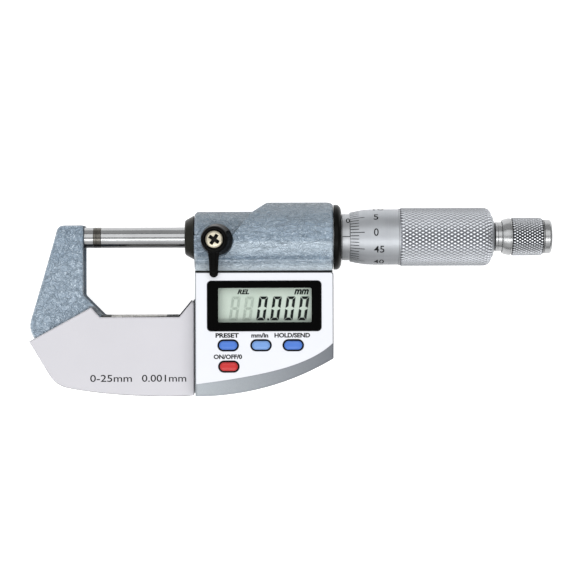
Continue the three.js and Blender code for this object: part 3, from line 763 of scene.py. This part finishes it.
def spindle():
    """The spindle with its keyway, its threaded end, and the cone and bore at the thimble."""
    low, high = local_box("spindle")
    bm = bmesh.new()
    lathe_into(bm, rounded_profile([
        (low.x, 0), (low.x, SPINDLE_RADIUS), (71.5, SPINDLE_RADIUS), (71.9, THREAD_RADIUS),
        (112.3, THREAD_RADIUS), (112.7, 3), (116.6, 3), (116.6, 4.1), (high.x, 3.15), (high.x, 1.5),
        (112, 1.5), (112, 0),
    ], 0.05))
    keyway = box_mesh(39.2, 66.2, -0.85, 0.85, 2.3, 5)
    build("spindle_rod", carved(bm, keyway), "spindle", "ground_steel", 35, ["spindle"])
    rod("spindle_carbide", "spindle_tip", "spindle", "carbide", SPINDLE_RADIUS)


# ---- sleeve and thimble

DIVISIONS = 50
DIVISION = TAU / DIVISIONS
ZERO_ANGLE = math.radians(8.9)
LINE_WIDTH = 0.24
LINE_DEPTH = 0.05
MARK_HEIGHT = 0.014
SLEEVE_NUMBER_TURN = math.radians(44)
SHORT_LINE_END = 82.3
LONG_LINE_END = 84.05
THIMBLE_PROFILE = [
    (79.55, 7.7), (81.0, 8.02), (82.3, 8.28), (84.05, 8.55), (86.0, 8.68), (88.0, 8.72), (94.75, 8.72),
]
THIMBLE_START, THIMBLE_SEAM = THIMBLE_PROFILE[0][0], THIMBLE_PROFILE[-1][0]
THIMBLE_BORE = 7.45


def thimble_radius(x):
    for (xa, ra), (xb, rb) in zip(THIMBLE_PROFILE, THIMBLE_PROFILE[1:]):
        if x <= xb:
            return ra + (rb - ra) * (x - xa) / (xb - xa)
    return THIMBLE_PROFILE[-1][1]


def thimble_front():
    """The smooth graduated part: its mesh follows the graduation lines, which are sunk and inked."""
    rows = [THIMBLE_START + 0.08, 80.3, 81.0, 81.7, SHORT_LINE_END, 83.2, LONG_LINE_END, 85, 86, 87, 88, 91,
            THIMBLE_SEAM]
    radius_at_lines = 8.1
    half = LINE_WIDTH / 2 / radius_at_lines
    offsets = [-half, half, DIVISION * 0.35, DIVISION * 0.65]
    angles = [ZERO_ANGLE + k * DIVISION + offset for k in range(DIVISIONS) for offset in offsets]
    bm = bmesh.new()
    sections = [(THIMBLE_START, THIMBLE_BORE), (THIMBLE_START, 7.62)]
    sections += [(x, thimble_radius(x)) for x in rows]
    sections += [(THIMBLE_SEAM, THIMBLE_BORE)]
    rings = [[bm.verts.new(ring_point(x, r, a)) for a in angles] for x, r in sections]
    count = len(angles)
    lines = []
    for i, below in enumerate(rings):
        above = rings[(i + 1) % len(rings)]
        for k in range(count):
            face = bm.faces.new((below[k], below[(k + 1) % count], above[(k + 1) % count], above[k]))
            number, column = divmod(k, len(offsets))
            end = LONG_LINE_END if number % 5 == 0 else SHORT_LINE_END
            if column == 0 and 2 <= i < len(rings) - 2 and sections[i + 1][0] <= end + 1e-6:
                lines.append(face)
    bmesh.ops.recalc_face_normals(bm, faces=bm.faces)
    for item in bmesh.ops.extrude_face_region(bm, geom=lines)["geom"]:
        if isinstance(item, bmesh.types.BMVert):
            item.co -= Vector((0, item.co.y, item.co.z)).normalized() * LINE_DEPTH
        if isinstance(item, bmesh.types.BMFace):
            item.material_index = 1
    bmesh.ops.delete(bm, geom=[f for f in lines if f.is_valid], context="FACES_ONLY")
    build("thimble_front", bm, "spindle", ["satin_chrome", "scale_ink"], 35, ["thimble"])


def numeral(number, size, weight, x0, x1, half_height, radius_at, turn):
    """A number wrapped on the barrel, turned this far round from the top."""
    bm = fit_text(text_mesh(str(number), size, weight), x0, x1, -half_height, half_height, 0)
    wrap_on_barrel(bm, radius_at)
    bm.transform(Matrix.Rotation(-turn, 4, "X"))
    return bm


def thimble_numerals():
    joined = bmesh.new()
    start, half_height = 86.9, 1.2
    digit_width, digit_gap = 1.45, 0.35
    for number in range(0, DIVISIONS, 5):
        digits = len(str(number))
        end = start + (digit_width * digits + digit_gap * (digits - 1))
        turn = ZERO_ANGLE + number * DIVISION
        join(joined, numeral(number, 3.0, 0.025, start, end, half_height, thimble_radius, turn))
    build("thimble_numerals", joined, "spindle", "scale_ink", 30, ())


class Path:
    """An [along, radius] line that can be read by the distance along it."""

    def __init__(self, points):
        self.points = [Vector(p) for p in points]
        self.lengths = [0.0]
        for a, b in zip(self.points, self.points[1:]):
            self.lengths.append(self.lengths[-1] + (b - a).length)
        self.length = self.lengths[-1]

    def at(self, distance, height):
        """The point at this distance, moved this far off the line."""
        distance = min(max(distance, 0.0), self.length)
        k = max(i for i, s in enumerate(self.lengths[:-1]) if s <= distance)
        a, b = self.points[k], self.points[k + 1]
        along = (b - a).normalized()
        point = a + along * (distance - self.lengths[k])
        return point + Vector((-along.y, along.x)) * height


def knurl_into(bm, path, count, pitch, depth):
    """A diamond knurl round the spindle line. Odd lattice points are peaks, cut off flat, and even ones
    are where the grooves cross. Returns the first and last ring."""
    columns = 2 * count
    rows = int(round(path.length / pitch))
    step = path.length / rows
    flat = 0.42
    layer = bm.verts.layers.float.new("height")

    def spot(i, j, height):
        along, radius = path.at(i * step, height)
        vert = bm.verts.new(ring_point(along, radius, math.pi * j / count))
        vert[layer] = 1 + height / depth
        return vert

    crossing = {}
    for i in range(rows + 1):
        for j in range(columns):
            if (i + j) % 2 == 0 or i in (0, rows):
                crossing[i, j] = spot(i, j, -depth)
    for i in range(1, rows):
        for j in range(columns):
            if (i + j) % 2 == 0:
                continue
            base = [crossing[i, (j + 1) % columns], crossing[i + 1, j],
                    crossing[i, (j - 1) % columns], crossing[i - 1, j]]
            top = [spot(i, j + flat, 0), spot(i + flat, j, 0), spot(i, j - flat, 0), spot(i - flat, j, 0)]
            bm.faces.new(top)
            skin(bm, [base, top])
    for i, inner in ((0, 1), (rows, rows - 1)):
        for j in range(columns):
            if (i + j) % 2 == 1:
                left, right = crossing[i, (j - 1) % columns], crossing[i, (j + 1) % columns]
                bm.faces.new((left, crossing[i, j], crossing[inner, j]))
                bm.faces.new((crossing[i, j], right, crossing[inner, j]))
    return [[crossing[i, j] for j in range(columns)] for i in (0, rows)]


def close_with_profile(bm, first, last, profile):
    """Closes a knurled skin into a solid, along a profile from its last ring to its first."""
    columns = len(first)
    # The closing faces get a height near the peaks', so little painted groove shade falls on them.
    closing_face_height = 0.8
    layer = bm.verts.layers.float["height"]
    rings = []
    for x, radius in profile:
        rings.append([bm.verts.new(ring_point(x, radius, TAU * j / columns)) for j in range(columns)])
        for vert in rings[-1]:
            vert[layer] = closing_face_height
    skin(bm, [last, *rings, first], 1)


def thimble_grip():
    bm = bmesh.new()
    path = Path([(95.15, 9.1), *bend((121.6, 9.1), (123.3, 9.0), (124.05, 7.0), 8)])
    first, last = knurl_into(bm, path, count=49, pitch=1.0, depth=0.26)
    close_with_profile(bm, first, last, [
        (124.28, 6.5), (124.55, 5.7), (124.75, 5.0), (124.86, 4.6), (124.9, 4.3), (124.9, 1.9), (121.6, 1.9),
        (121.6, 3.4), (116.3, 4.5), (115.5, THIMBLE_BORE), (94.8, THIMBLE_BORE), (94.8, 8.76),
        (94.85, 8.86), (94.98, 8.86),
    ])
    build("thimble_grip", bm, "spindle", ["thimble_knurl", "satin_chrome"], 25, ["thimble"])


def sleeve():
    """The sleeve with its line, its marks every half millimetre and its numbers every five."""
    low, high = local_box("scale_sleeve")
    radius = high.y
    rod("scale_barrel", "scale_sleeve", "frame", "sleeve_chrome", radius, SLEEVE_BORE,
        edge=0.1, segments=128)
    bm = bmesh.new()
    inside, outside = radius + INK_LIFT - 0.02, radius + INK_LIFT + MARK_HEIGHT

    def mark(x0, x1, distance0, distance1, steps):
        """A thin inked patch, between two distances round the sleeve from its top."""
        start, end = distance0 / radius, distance1 / radius
        angles = [start + (end - start) * k / steps for k in range(steps + 1)]
        rows = [[bm.verts.new(ring_point(x, r, a)) for a in angles]
                for x, r in ((x0, inside), (x0, outside), (x1, outside), (x1, inside))]
        for a, b in zip(rows, rows[1:] + rows[:1]):
            for k in range(steps):
                bm.faces.new((a[k], a[k + 1], b[k + 1], b[k]))
        for k in (0, steps):
            bm.faces.new([row[k] for row in rows])

    half = LINE_WIDTH / 2
    mark(low.x + 0.05, high.x - 0.3, -half, half, 2)
    for k in range(0, 51):
        x = THIMBLE_START + k * 0.5
        if k % 10 == 0:
            reach = (0.0, 4.6)
        elif k % 2 == 0:
            reach = (0.0, 2.6)
        else:
            reach = (-2.2, 0.0)
        mark(x - half * 0.8, x + half * 0.8, *reach, 8)
    for number in range(0, 26, 5):
        half_digit = 0.65
        x, reach = THIMBLE_START - half_digit + number, half_digit * len(str(number))
        join(bm, numeral(number, 2.5, 0.03, x - reach, x + reach, 1.0, lambda _: radius, SLEEVE_NUMBER_TURN))
    build("sleeve_scale", bm, "frame", "scale_ink", 30, ())


def ratchet():
    """The shaft behind the thimble, the knurled knob on it, and its end cap."""
    low, high = local_box("ratchet_stem")
    knob_low, knob_high = local_box("ratchet_knob")
    lathe("ratchet_shaft", [
        (low.x, 0), (low.x, 1.3), (125.1, 1.3), (125.1, 4.45), (125.25, 4.6), (125.9, 4.6), (126.0, 4.5),
        (126.1, 4.6), (knob_low.x + 0.3, 4.6), (knob_low.x + 0.3, 2.1), (high.x, 2.1), (high.x, 0.95),
        (133.5, 0.95), (133.5, 0),
    ], "spindle", "bright_steel", ["ratchet_stem"], 0.06)
    bm = bmesh.new()
    path = Path([(130.25, 5.93), (131, 5.95), (138.4, 5.95), (139.2, 5.88), (139.9, 5.75), (140.28, 5.62)])
    first, last = knurl_into(bm, path, count=39, pitch=0.78, depth=0.3)
    x0, x1 = knob_low.x, knob_high.x
    close_with_profile(bm, first, last, [
        (x1, 5.3), (x1, 3.6), (139.1, 3.6), (139.1, 2.35), (137.5, 2.35), (137.5, 4.85), (x0, 4.85),
        (x0, 5.1), (x0 + 0.08, 5.22), (x0 + 0.5, 5.42), (x0 + 1.1, 5.62), (x0 + 1.8, 5.76),
        (129.75, 5.82), (129.85, 5.7), (130.05, 5.68),
    ])
    looks = ["ratchet_knurl", "bright_steel"]
    build("ratchet_grip", bm, "ratchet", looks, 25, ["ratchet_knob"])
    low, high = local_box("ratchet_end_cap")
    lathe("ratchet_cap", [
        (low.x, 0), (low.x, 5.3), (low.x + 0.2, 5.38), (142.1, 5.35), (142.55, 5.15), (142.85, 4.75),
        (142.97, 4.3), (high.x, 3.8), (high.x, 0),
    ], "ratchet", "bright_steel", ["ratchet_end_cap"], 0.1)


# ---- display housing

FACE_LOW, FACE_HIGH = local_box("front_label")
BEZEL_LOW, BEZEL_HIGH = local_box("display_bezel")
FACE_TOP = FACE_HIGH.z
BUTTONS = {
    "zero_button": ("blue", "button_blue"),
    "unit_button": ("light_blue", "button_light_blue"),
    "hold_button": ("blue", "button_blue"),
    "power_button": ("red", "button_red"),
}
SKIRT = 0.55
DIGIT_WIDTH, DIGIT_HEIGHT = 2.75, 7.4
DIGIT_Y = -25.95


def button_place(name):
    """A button's middle, the length and width of its cap without the skirt, and its heights."""
    low, high = local_box(name)
    middle = (low + high) / 2
    return middle.x, middle.y, high.x - low.x - 2 * SKIRT, high.y - low.y - 2 * SKIRT, low.z, high.z


def face_panel():
    """The printed film, with its openings: straight sides, and a long curve above the belly."""
    left, right, top = FACE_LOW.x, FACE_HIGH.x, FACE_HIGH.y
    outline = [(left, top), (right - 0.8, top)]
    outline += bezier((right - 0.8, top), (right - 0.3, top), (right, top - 0.3), (right, top - 0.8), 6)
    outline += [(right, -33)]
    outline += bezier((right, -33), (66, -40.6), (50, -43.2), (left, -45.6), 40)
    holes = [rounded_rect(BEZEL_LOW.x - 0.2, BEZEL_HIGH.x + 0.2, BEZEL_LOW.y - 0.2, BEZEL_HIGH.y + 0.2, 1.3)]
    for name in BUTTONS:
        x, y, length, width, _, _ = button_place(name)
        holes.append(stadium(x, y, length + 0.5, width + 0.5))
    bm = slab_mesh([outline, *holes], FACE_LOW.z, FACE_TOP, 0.05)
    weight_normals(build("face_film", bm, "frame", "face_film", 50, ["front_label"]))


def bezel():
    low, high = BEZEL_LOW, BEZEL_HIGH
    window_low, window_high = local_box("display_window")
    outer = rounded_rect(low.x, high.x, low.y, high.y, 1.15)
    opening = rounded_rect(38.55, 67.4, -26.5, -15.9, 0.35)
    bm = slab_mesh([outer, opening], window_high.z + 0.06, high.z, 0.22)
    seat = rounded_rect(window_low.x - 0.15, window_high.x + 0.15,
                        window_low.y - 0.15, window_high.y + 0.15, 0.4)
    join(bm, slab_mesh([outer, seat], low.z, window_high.z + 0.2, 0.05))
    weight_normals(build("bezel_frame", bm, "frame", "black_gloss", 50, ["display_bezel"]))


def digit(bm, x, lit):
    """Slanted seven-segment bars, with their left bottom corner at x."""
    width, height, half = DIGIT_WIDTH, DIGIT_HEIGHT, DIGIT_HEIGHT / 2
    lean, gap, s = 0.14, 0.14, 0.86
    outer, inner = half + gap, half + s / 2 + gap
    bars = {
        "top": [(gap, height), (width - gap, height), (width - s, height - s), (s, height - s)],
        "bottom": [(gap, 0), (width - gap, 0), (width - s, s), (s, s)],
        "middle": [(gap * 2, half), (s, half - s / 2), (width - s, half - s / 2),
                   (width - gap * 2, half), (width - s, half + s / 2), (s, half + s / 2)],
        "upper_left": [(0, height - gap), (s, height - s - gap), (s, inner), (0, outer)],
        "lower_left": [(0, gap), (s, s + gap), (s, height - inner), (0, height - outer)],
    }
    for side in ("upper", "lower"):
        bars[side + "_right"] = [(width - px, py) for px, py in bars[side + "_left"]]
    for name in lit:
        low, high = ([bm.verts.new((x + (px + lean * py), DIGIT_Y + py, z)) for px, py in bars[name]]
                     for z in (0, 0.03))
        bm.faces.new(high)
        bm.faces.new(low[::-1])
        skin(bm, [low, high])


def display():
    """The lit digits and the decimal point, two faint unlit digits, and two small words."""
    surface = local_box("lcd_glass")[1].z
    zero = ("top", "upper_left", "lower_left", "upper_right", "lower_right", "bottom")
    lit = bmesh.new()
    for x in (50.2, 54.5, 58.75, 63.0):
        digit(lit, x, zero)
    point = Matrix.Translation((53.95, -25.65, 0.015)) @ Matrix.Diagonal((0.6, 0.6, 0.03, 1))
    bmesh.ops.create_cube(lit, size=1, matrix=point)
    idle = bmesh.new()
    for x in (41.7, 45.95):
        digit(idle, x, (*zero, "middle"))
    for bm in (lit, idle):
        bmesh.ops.translate(bm, verts=bm.verts, vec=(0, 0, surface + 0.005))
    build("lcd_digits", lit, "frame", "segment", 30, ())
    build("lcd_idle_digits", idle, "frame", "ghost_segment", 30, ())
    flat_text("lcd_word_relative", "REL", 44.4, 48.1, -17.85, -16.35, surface, "segment", 0.13, 0.3)
    flat_text("lcd_word_mm", "mm", 62.0, 66.6, -17.95, -16.3, surface, "segment", 0.13, 0.3)


def buttons():
    """Coloured caps on dark rubber skirts; the dark ring that the skirt shows round each cap is painted
    shade for the gap.
    """
    cap = 0.3
    for name, (material, slot) in BUTTONS.items():
        x, y, length, width, z0, z1 = button_place(name)
        levels = [
            (-SKIRT, z0), (-SKIRT, z0 + 0.85), (0, z0 + 0.85), (0, z1 - 1.1), (cap, z1 - 1.0),
            (cap, z1 - 0.5), (cap + 0.08, z1 - 0.32), (cap + 0.22, z1 - 0.17), (cap + 0.42, z1 - 0.1),
            (cap + 0.48, z1 - 0.02), (cap + 0.7, z1),
        ]
        bm = bmesh.new()
        rings = []
        for inset, z in levels:
            outline = stadium(x, y, length - 2 * inset, width - 2 * inset)
            rings.append([bm.verts.new((px, py, z)) for px, py in outline])
        cap_start = 4
        # Painted shade: the skirt's dark rubber makes a dark ring round each cap.
        skin(bm, rings[:cap_start + 1], 1)
        skin(bm, rings[cap_start:])
        bm.faces.new(rings[-1])
        bm.faces.new(rings[0][::-1]).material_index = 1
        build(name + "_cap", bm, body_of(name), [material, "rubber"], 40, [name])


def body_of(node):
    """The body that a CAD node belongs to."""
    for body, nodes in frame["record"]["behaviour"]["bodies"].items():
        if node in nodes:
            return body
    return "frame"


def face_words():
    for name, words, x0, x1, y0, y1 in (
        ("word_preset", "PRESET", 37.7, 44.9, -31.25, -29.8),
        ("word_units", "mm/in", 48.75, 54.0, -31.25, -29.8),
        ("word_hold", "HOLD/SEND", 55.9, 66.9, -31.25, -29.8),
        ("word_on_off", "ON/OFF/0", 37.1, 45.9, -37.85, -36.4),
    ):
        flat_text(name, words, x0, x1, y0, y1, FACE_TOP - 0.005, "ink", 0.13)
    plate_top = local_box("front_plate")[1].z
    for name, words, x0, x1 in (("word_range", "0-25mm", -1.5, 11.5), ("word_step", "0.001mm", 14.6, 28.4)):
        flat_text(name, words, x0, x1, -45.0, -42.8, plate_top - 0.005, "ink", 0.02)


# ---- spindle lock

ARM_UNDERSIDE = 13.2
LEVER_RIDGE = 15.05


def phillips(bm, x, y, top, depth, reach, width, turn):
    """Takes a cross recess, narrowing downwards, out of a screw head."""
    def blade(angle):
        made = box_mesh(-reach, reach, -width / 2, width / 2, -depth, 0.4)
        for v in made.verts:
            if v.co.z < 0:
                v.co.x *= 0.5
                v.co.y *= 0.75
        made.transform(Matrix.Rotation(angle, 4, "Z"))
        return made
    cross = carved(blade(turn), blade(turn + math.pi / 2), "UNION")
    cross.transform(Matrix.Translation((x, y, top)))
    return carved(bm, cross)


def darken_recess(bm, x, y, top):
    """Gives the walls and floor of a screw's cross recess the second material, a near-black that is painted
    shade.
    """
    for face in bm.faces:
        middle = face.calc_center_median()
        inside = math.hypot(middle.x - x, middle.y - y) < 2.3 and top - 1.1 < middle.z < top
        steep = abs(face.normal.z) < 0.8 or middle.z < top - 0.5
        if inside and steep:
            face.material_index = 1


def lock_screw_head():
    low, high = local_box("lock_screw")
    x, y = axis_of("lock_screw")
    bm = upright_lathe(x, y, rounded_profile([
        (low.z, 0), (low.z, 0.9), (14.45, 0.9), (14.45, 2.85), (14.9, 2.85), (15.35, 2.62), (15.62, 2.1),
        (high.z - 0.03, 1.3), (high.z, 0.6), (high.z, 0),
    ], 0.1), 64)
    bm = phillips(bm, x, y, high.z, depth=1.0, reach=2.2, width=1.25, turn=math.radians(56))
    darken_recess(bm, x, y, high.z)
    build("lock_screw_head", bm, "lock_lever", ["nickel", "recess"], 40, ["lock_screw"])


def lever_hub(x, y, bottom, top):
    """The round hub, whose lower part leans out towards the ratchet end."""
    steps = [
        (bottom, 4.62, 0.44), (10.95, 4.75, 0.48), (11.15, 5.0, 0.72), (11.9, 4.9, 0.6), (13.3, 4.5, 0.3),
        (14.5, 4.2, 0.08), (15.0, 3.95, 0.0), (top, 3.5, 0.0),
    ]
    shifts = {z: shift for z, _, shift in steps}

    def leaning(z, radius, angle):
        return Vector((x + shifts[z] + radius * math.cos(angle), y + radius * math.sin(angle), z))

    bm = bmesh.new()
    lathe_into(bm, [(bottom, 0), *((z, r) for z, r, _ in steps), (top, 0)], 64, leaning)
    return bm


def lever_arm(arm_x, y, tip_y):
    """The tapering arm, with a low ridge along its top."""
    arm = bmesh.new()
    rings = []
    for at, half in ((y - 2.0, 2.15), (y - 4.6, 1.72), (y - 6.5, 1.5), (tip_y, 1.34)):
        side = [
            (half * 0.3, LEVER_RIDGE), (half * 0.42, 14.8), (half - 0.35, 14.75), (half, 14.35),
            (half, ARM_UNDERSIDE),
        ]
        profile = [(-px, pz) for px, pz in reversed(side)] + side
        rings.append([arm.verts.new((arm_x + px, at, pz)) for px, pz in profile])
    skin(arm, rings)
    arm.faces.new(rings[0])
    arm.faces.new(rings[-1][::-1])
    bmesh.ops.recalc_face_normals(arm, faces=arm.faces)
    return arm


def lock_lever():
    x, y = axis_of("lock_screw")
    lever_low, lever_high = local_box("lock_lever")
    bottom, top = lever_low.z, lever_high.z
    arm_x, tip_y = x - 0.15, lever_low.y + 1.35
    tip = upright_lathe(arm_x, tip_y, [
        (ARM_UNDERSIDE, 0), (ARM_UNDERSIDE, 1.35), (14.5, 1.35), (14.95, 1.0), (14.95, 0),
    ], 40)
    hollow = upright_lathe(x, y, [
        (bottom - 1, 0), (bottom - 1, 2.25), (13.6, 2.25), (13.6, 1.1), (14.35, 1.1), (14.35, 3.05),
        (top + 1, 3.05), (top + 1, 0),
    ], 64)
    bm = carved(lever_hub(x, y, bottom, top), lever_arm(arm_x, y, tip_y), "UNION")
    bm = rounded_solid(carved(carved(bm, tip, "UNION"), hollow), voxel=0.11, keep=0.5)
    build("lock_lever_body", bm, "lock_lever", "lever_plastic", 50, ["lock_lever"])
    pip = upright_lathe(arm_x, tip_y, [(14.9, 0), (14.9, 0.72), (15.02, 0.66), (15.04, 0.5), (15, 0)], 32)
    build("lock_lever_pip", pip, "lock_lever", "lever_plastic", 40, ())


def lever_washer():
    low, high = local_box("lock_washer")
    x, y = axis_of("lock_washer")
    bore, radius = 2.5, high.x - x
    profile = [(low.z, bore), (low.z, radius), (high.z, radius), (high.z, bore)]
    bm = upright_lathe(x, y, rounded_profile(profile, 0.06), 64)
    build("lever_washer", bm, "frame", "bright_steel", 40, ["lock_washer"])


# ---- screws and the CAD parts that stay


def back_screws():
    """The four case screws, heads down, with a cross recess and a ridged shank."""
    pitch, core, crest = 0.6, 0.68, 0.84
    shank_start, point = -10.4, 0.8
    over = Matrix.Rotation(math.pi, 4, "X")
    for k in range(1, 5):
        node = f"case_screw_{k}"
        low, high = local_box(node)
        x, y = axis_of(node)
        profile = [(low.z, 0), (low.z, 1.85), (low.z + 0.05, 1.9), (low.z + 0.15, 1.85)]
        profile += [(-10.8, 0.9), (-10.6, 0.8)]
        for n in range(int((high.z - 0.9 - shank_start) / pitch)):
            z = shank_start + n * pitch
            profile += [(z, core), (z + pitch * 0.5, crest)]
        profile += [(high.z - point, core), (high.z, 0)]
        bm = upright_lathe(x, y, profile, 40)
        to_head = Matrix.Translation((0, 0, low.z))
        bm.transform(over @ to_head.inverted())
        turn = math.radians(20 + 47 * k)
        bm = phillips(bm, x, -y, 0, depth=0.75, reach=1.25, width=0.5, turn=turn)
        bm.transform(to_head @ over)
        build(f"back_screw_{k}", bm, "frame", "nickel", 40, [node])


def outset(outline, by):
    """The same outline, moved outwards by this much. It runs anticlockwise."""
    points = [Vector(p) for p in outline]
    out = []
    for i, point in enumerate(points):
        back = (point - points[i - 1]).normalized()
        ahead = (points[(i + 1) % len(points)] - point).normalized()
        normal = (Vector((back.y, -back.x)) + Vector((ahead.y, -ahead.x))).normalized()
        out.append(tuple(point + normal * by))
    return out


def seals():
    """Painted shade: a black strip in the gap between barrel and housing, and a dark rim that shows round
    the cover plate.
    """
    face_low, _ = local_box("front_shell")
    plate_low, _ = local_box("front_plate")
    # Painted shade: a dark rubber strip where the barrel meets the housing.
    bm = box_mesh(face_low.x, 73.9, -10.93, -10.5, 7.9, 12.3)
    build("barrel_gap_shade", bm, "frame", "rubber", 30, ())
    right = 30.75
    outline = [
        (right, -49.25), (right, -20.7), (30.17, -19.66), (26.02, -24.7), (1.5, -25.1), (-1.25, -22.05),
        (-20.5, -32.4), (-14.1, -42.9),
    ]
    outline += bezier((-14.1, -42.9), (-12.8, -44.8), (-11.1, -46.2), (-8.8, -46.7), 8)
    outline += bezier((-8.8, -46.7), (-2, -48.1), (12, -50), (right, -49.3), 24)[:-1]
    # Painted shade: a dark rim just outside the cover plate's edge.
    bm = slab_mesh([outset(outline, 0.14)], plate_low.z - 0.03, plate_low.z + 0.2, 0.02)
    weight_normals(build("plate_edge_shade", bm, "frame", "rubber", 50, ()))


CAD_LOOKS = {
    "white_plastic": ["front_plate", "back_plate"],
    "silver_plastic": ["front_shell", "back_cover", "battery_cap"],
    "black_plastic": ["lcd_holder"],
    "rubber": ["spindle_seal", "zebra_strip", "keypad_mat", "data_port_plug", "battery_cap_seal"],
    "board": ["encoder_stator", "rotor_disc", "main_board"],
    "flex": ["encoder_flex"],
    "window": ["display_window"],
    "lcd": ["lcd_glass"],
    "brass": ["spindle_bushing", "rotor_hub", "battery_contact_negative", "battery_contact_positive",
              "lock_shoe"],
    "ground_steel": ["inner_sleeve"],
    "bright_steel": ["rotor_key", "rotor_washer", "adjusting_nut", "board_screw_a", "board_screw_b",
                     "battery_cell", "lock_bolt", "ratchet_spring", "ratchet_disc", "ratchet_screw"],
}
SHARP_EDGED = ("display_window", "lcd_glass")
EDGE_WIDTH = 0.06
WIDER_EDGES = {
    "front_plate": 0.12, "back_plate": 0.12, "front_shell": 0.1, "back_cover": 0.1, "battery_cap": 0.12,
}


def dress_cad_part(node, look):
    """A CAD part that keeps its own shape gets its finish and slightly broken edges."""
    part = frame["nodes"][node]
    part.data.materials.clear()
    part.data.materials.append(MATERIALS[look])
    if node in SHARP_EDGED:
        return
    part.modifiers.new("weld", "WELD").merge_threshold = 0.005 * MM
    bevel = part.modifiers.new("edges", "BEVEL")
    bevel.width = WIDER_EDGES.get(node, EDGE_WIDTH) * MM
    bevel.segments = 2
    bevel.limit_method = "ANGLE"
    bevel.angle_limit = math.radians(35)
    bevel.harden_normals = False
    part.modifiers.new("faces", "WEIGHTED_NORMAL").keep_sharp = True


# ---- the whole object

frame_casting()
anvil()
nose()
spindle()
thimble_front()
thimble_numerals()
thimble_grip()
sleeve()
ratchet()
face_panel()
bezel()
display()
buttons()
face_words()
lock_screw_head()
lock_lever()
back_screws()
lever_washer()
seals()
for look, nodes in CAD_LOOKS.items():
    for node in nodes:
        dress_cad_part(node, look)

# ---- studio

FLOOR_GAP = 0.00003
CAMERA_PLACE = Vector((60.13, -15.94, 700))
CAMERA_ROLL = math.radians(-0.17)


def floor():
    """A pale paper floor, just under the object."""
    bm = bmesh.new()
    bmesh.ops.create_grid(bm, x_segments=2, y_segments=2, size=3.0)
    piece = linked("floor", mesh_from(bm, "floor"))
    piece.location.z = -FLOOR_GAP
    s = Shader("floor_paper")
    s.set(Base_Color=s.mix(s.noise(9, 2.0), (0.8, 0.8, 0.8), (0.83, 0.83, 0.83)), Roughness=0.9)
    s.set(Emission_Color=(1.0, 1.0, 1.0), Emission_Strength=0.6, Specular_IOR_Level=0.1)
    piece.data.materials.append(s.material)


def softbox(name, location, size_x, size_y, power):
    """A soft rectangular light, aimed at the middle of the object."""
    light = bpy.data.lights.new(name, "AREA")
    light.shape = "RECTANGLE"
    light.size, light.size_y = size_x, size_y
    light.energy = power
    holder = linked(name, light)
    holder.location = location
    target = Vector((0, 0, 0.012))
    holder.rotation_euler = (target - holder.location).to_track_quat("-Z", "Y").to_euler()


floor()
for light in (
    ("key_above", (0.0, 0.42, 1.0), 1.9, 0.74, 7.4),
    ("key_below", (0.0, -0.45, 1.0), 1.9, 0.66, 6.6),
    ("strip", (0.0, -0.38, 0.96), 1.9, 0.09, 4.2),
    ("side_top", (0.0, 1.5, 0.6), 2.4, 0.9, 2.5),
    ("side_front", (0.0, -1.3, 0.85), 2.4, 0.9, 5),
):
    softbox(*light)
studio = bpy.data.worlds.new("studio")
studio.use_nodes = True
background = studio.node_tree.nodes["Background"]
background.inputs["Color"].default_value = (1, 1, 1, 1)
background.inputs["Strength"].default_value = 0.42
scene.world = studio
scene.view_settings.view_transform = "Standard"

lens = bpy.data.cameras.new("camera")
lens.lens = 139.1
lens.sensor_width = 36
camera = linked("camera", lens)
camera.location = ORIGIN + CAMERA_PLACE * MM
camera.rotation_euler = (0, 0, CAMERA_ROLL)
scene.camera = camera
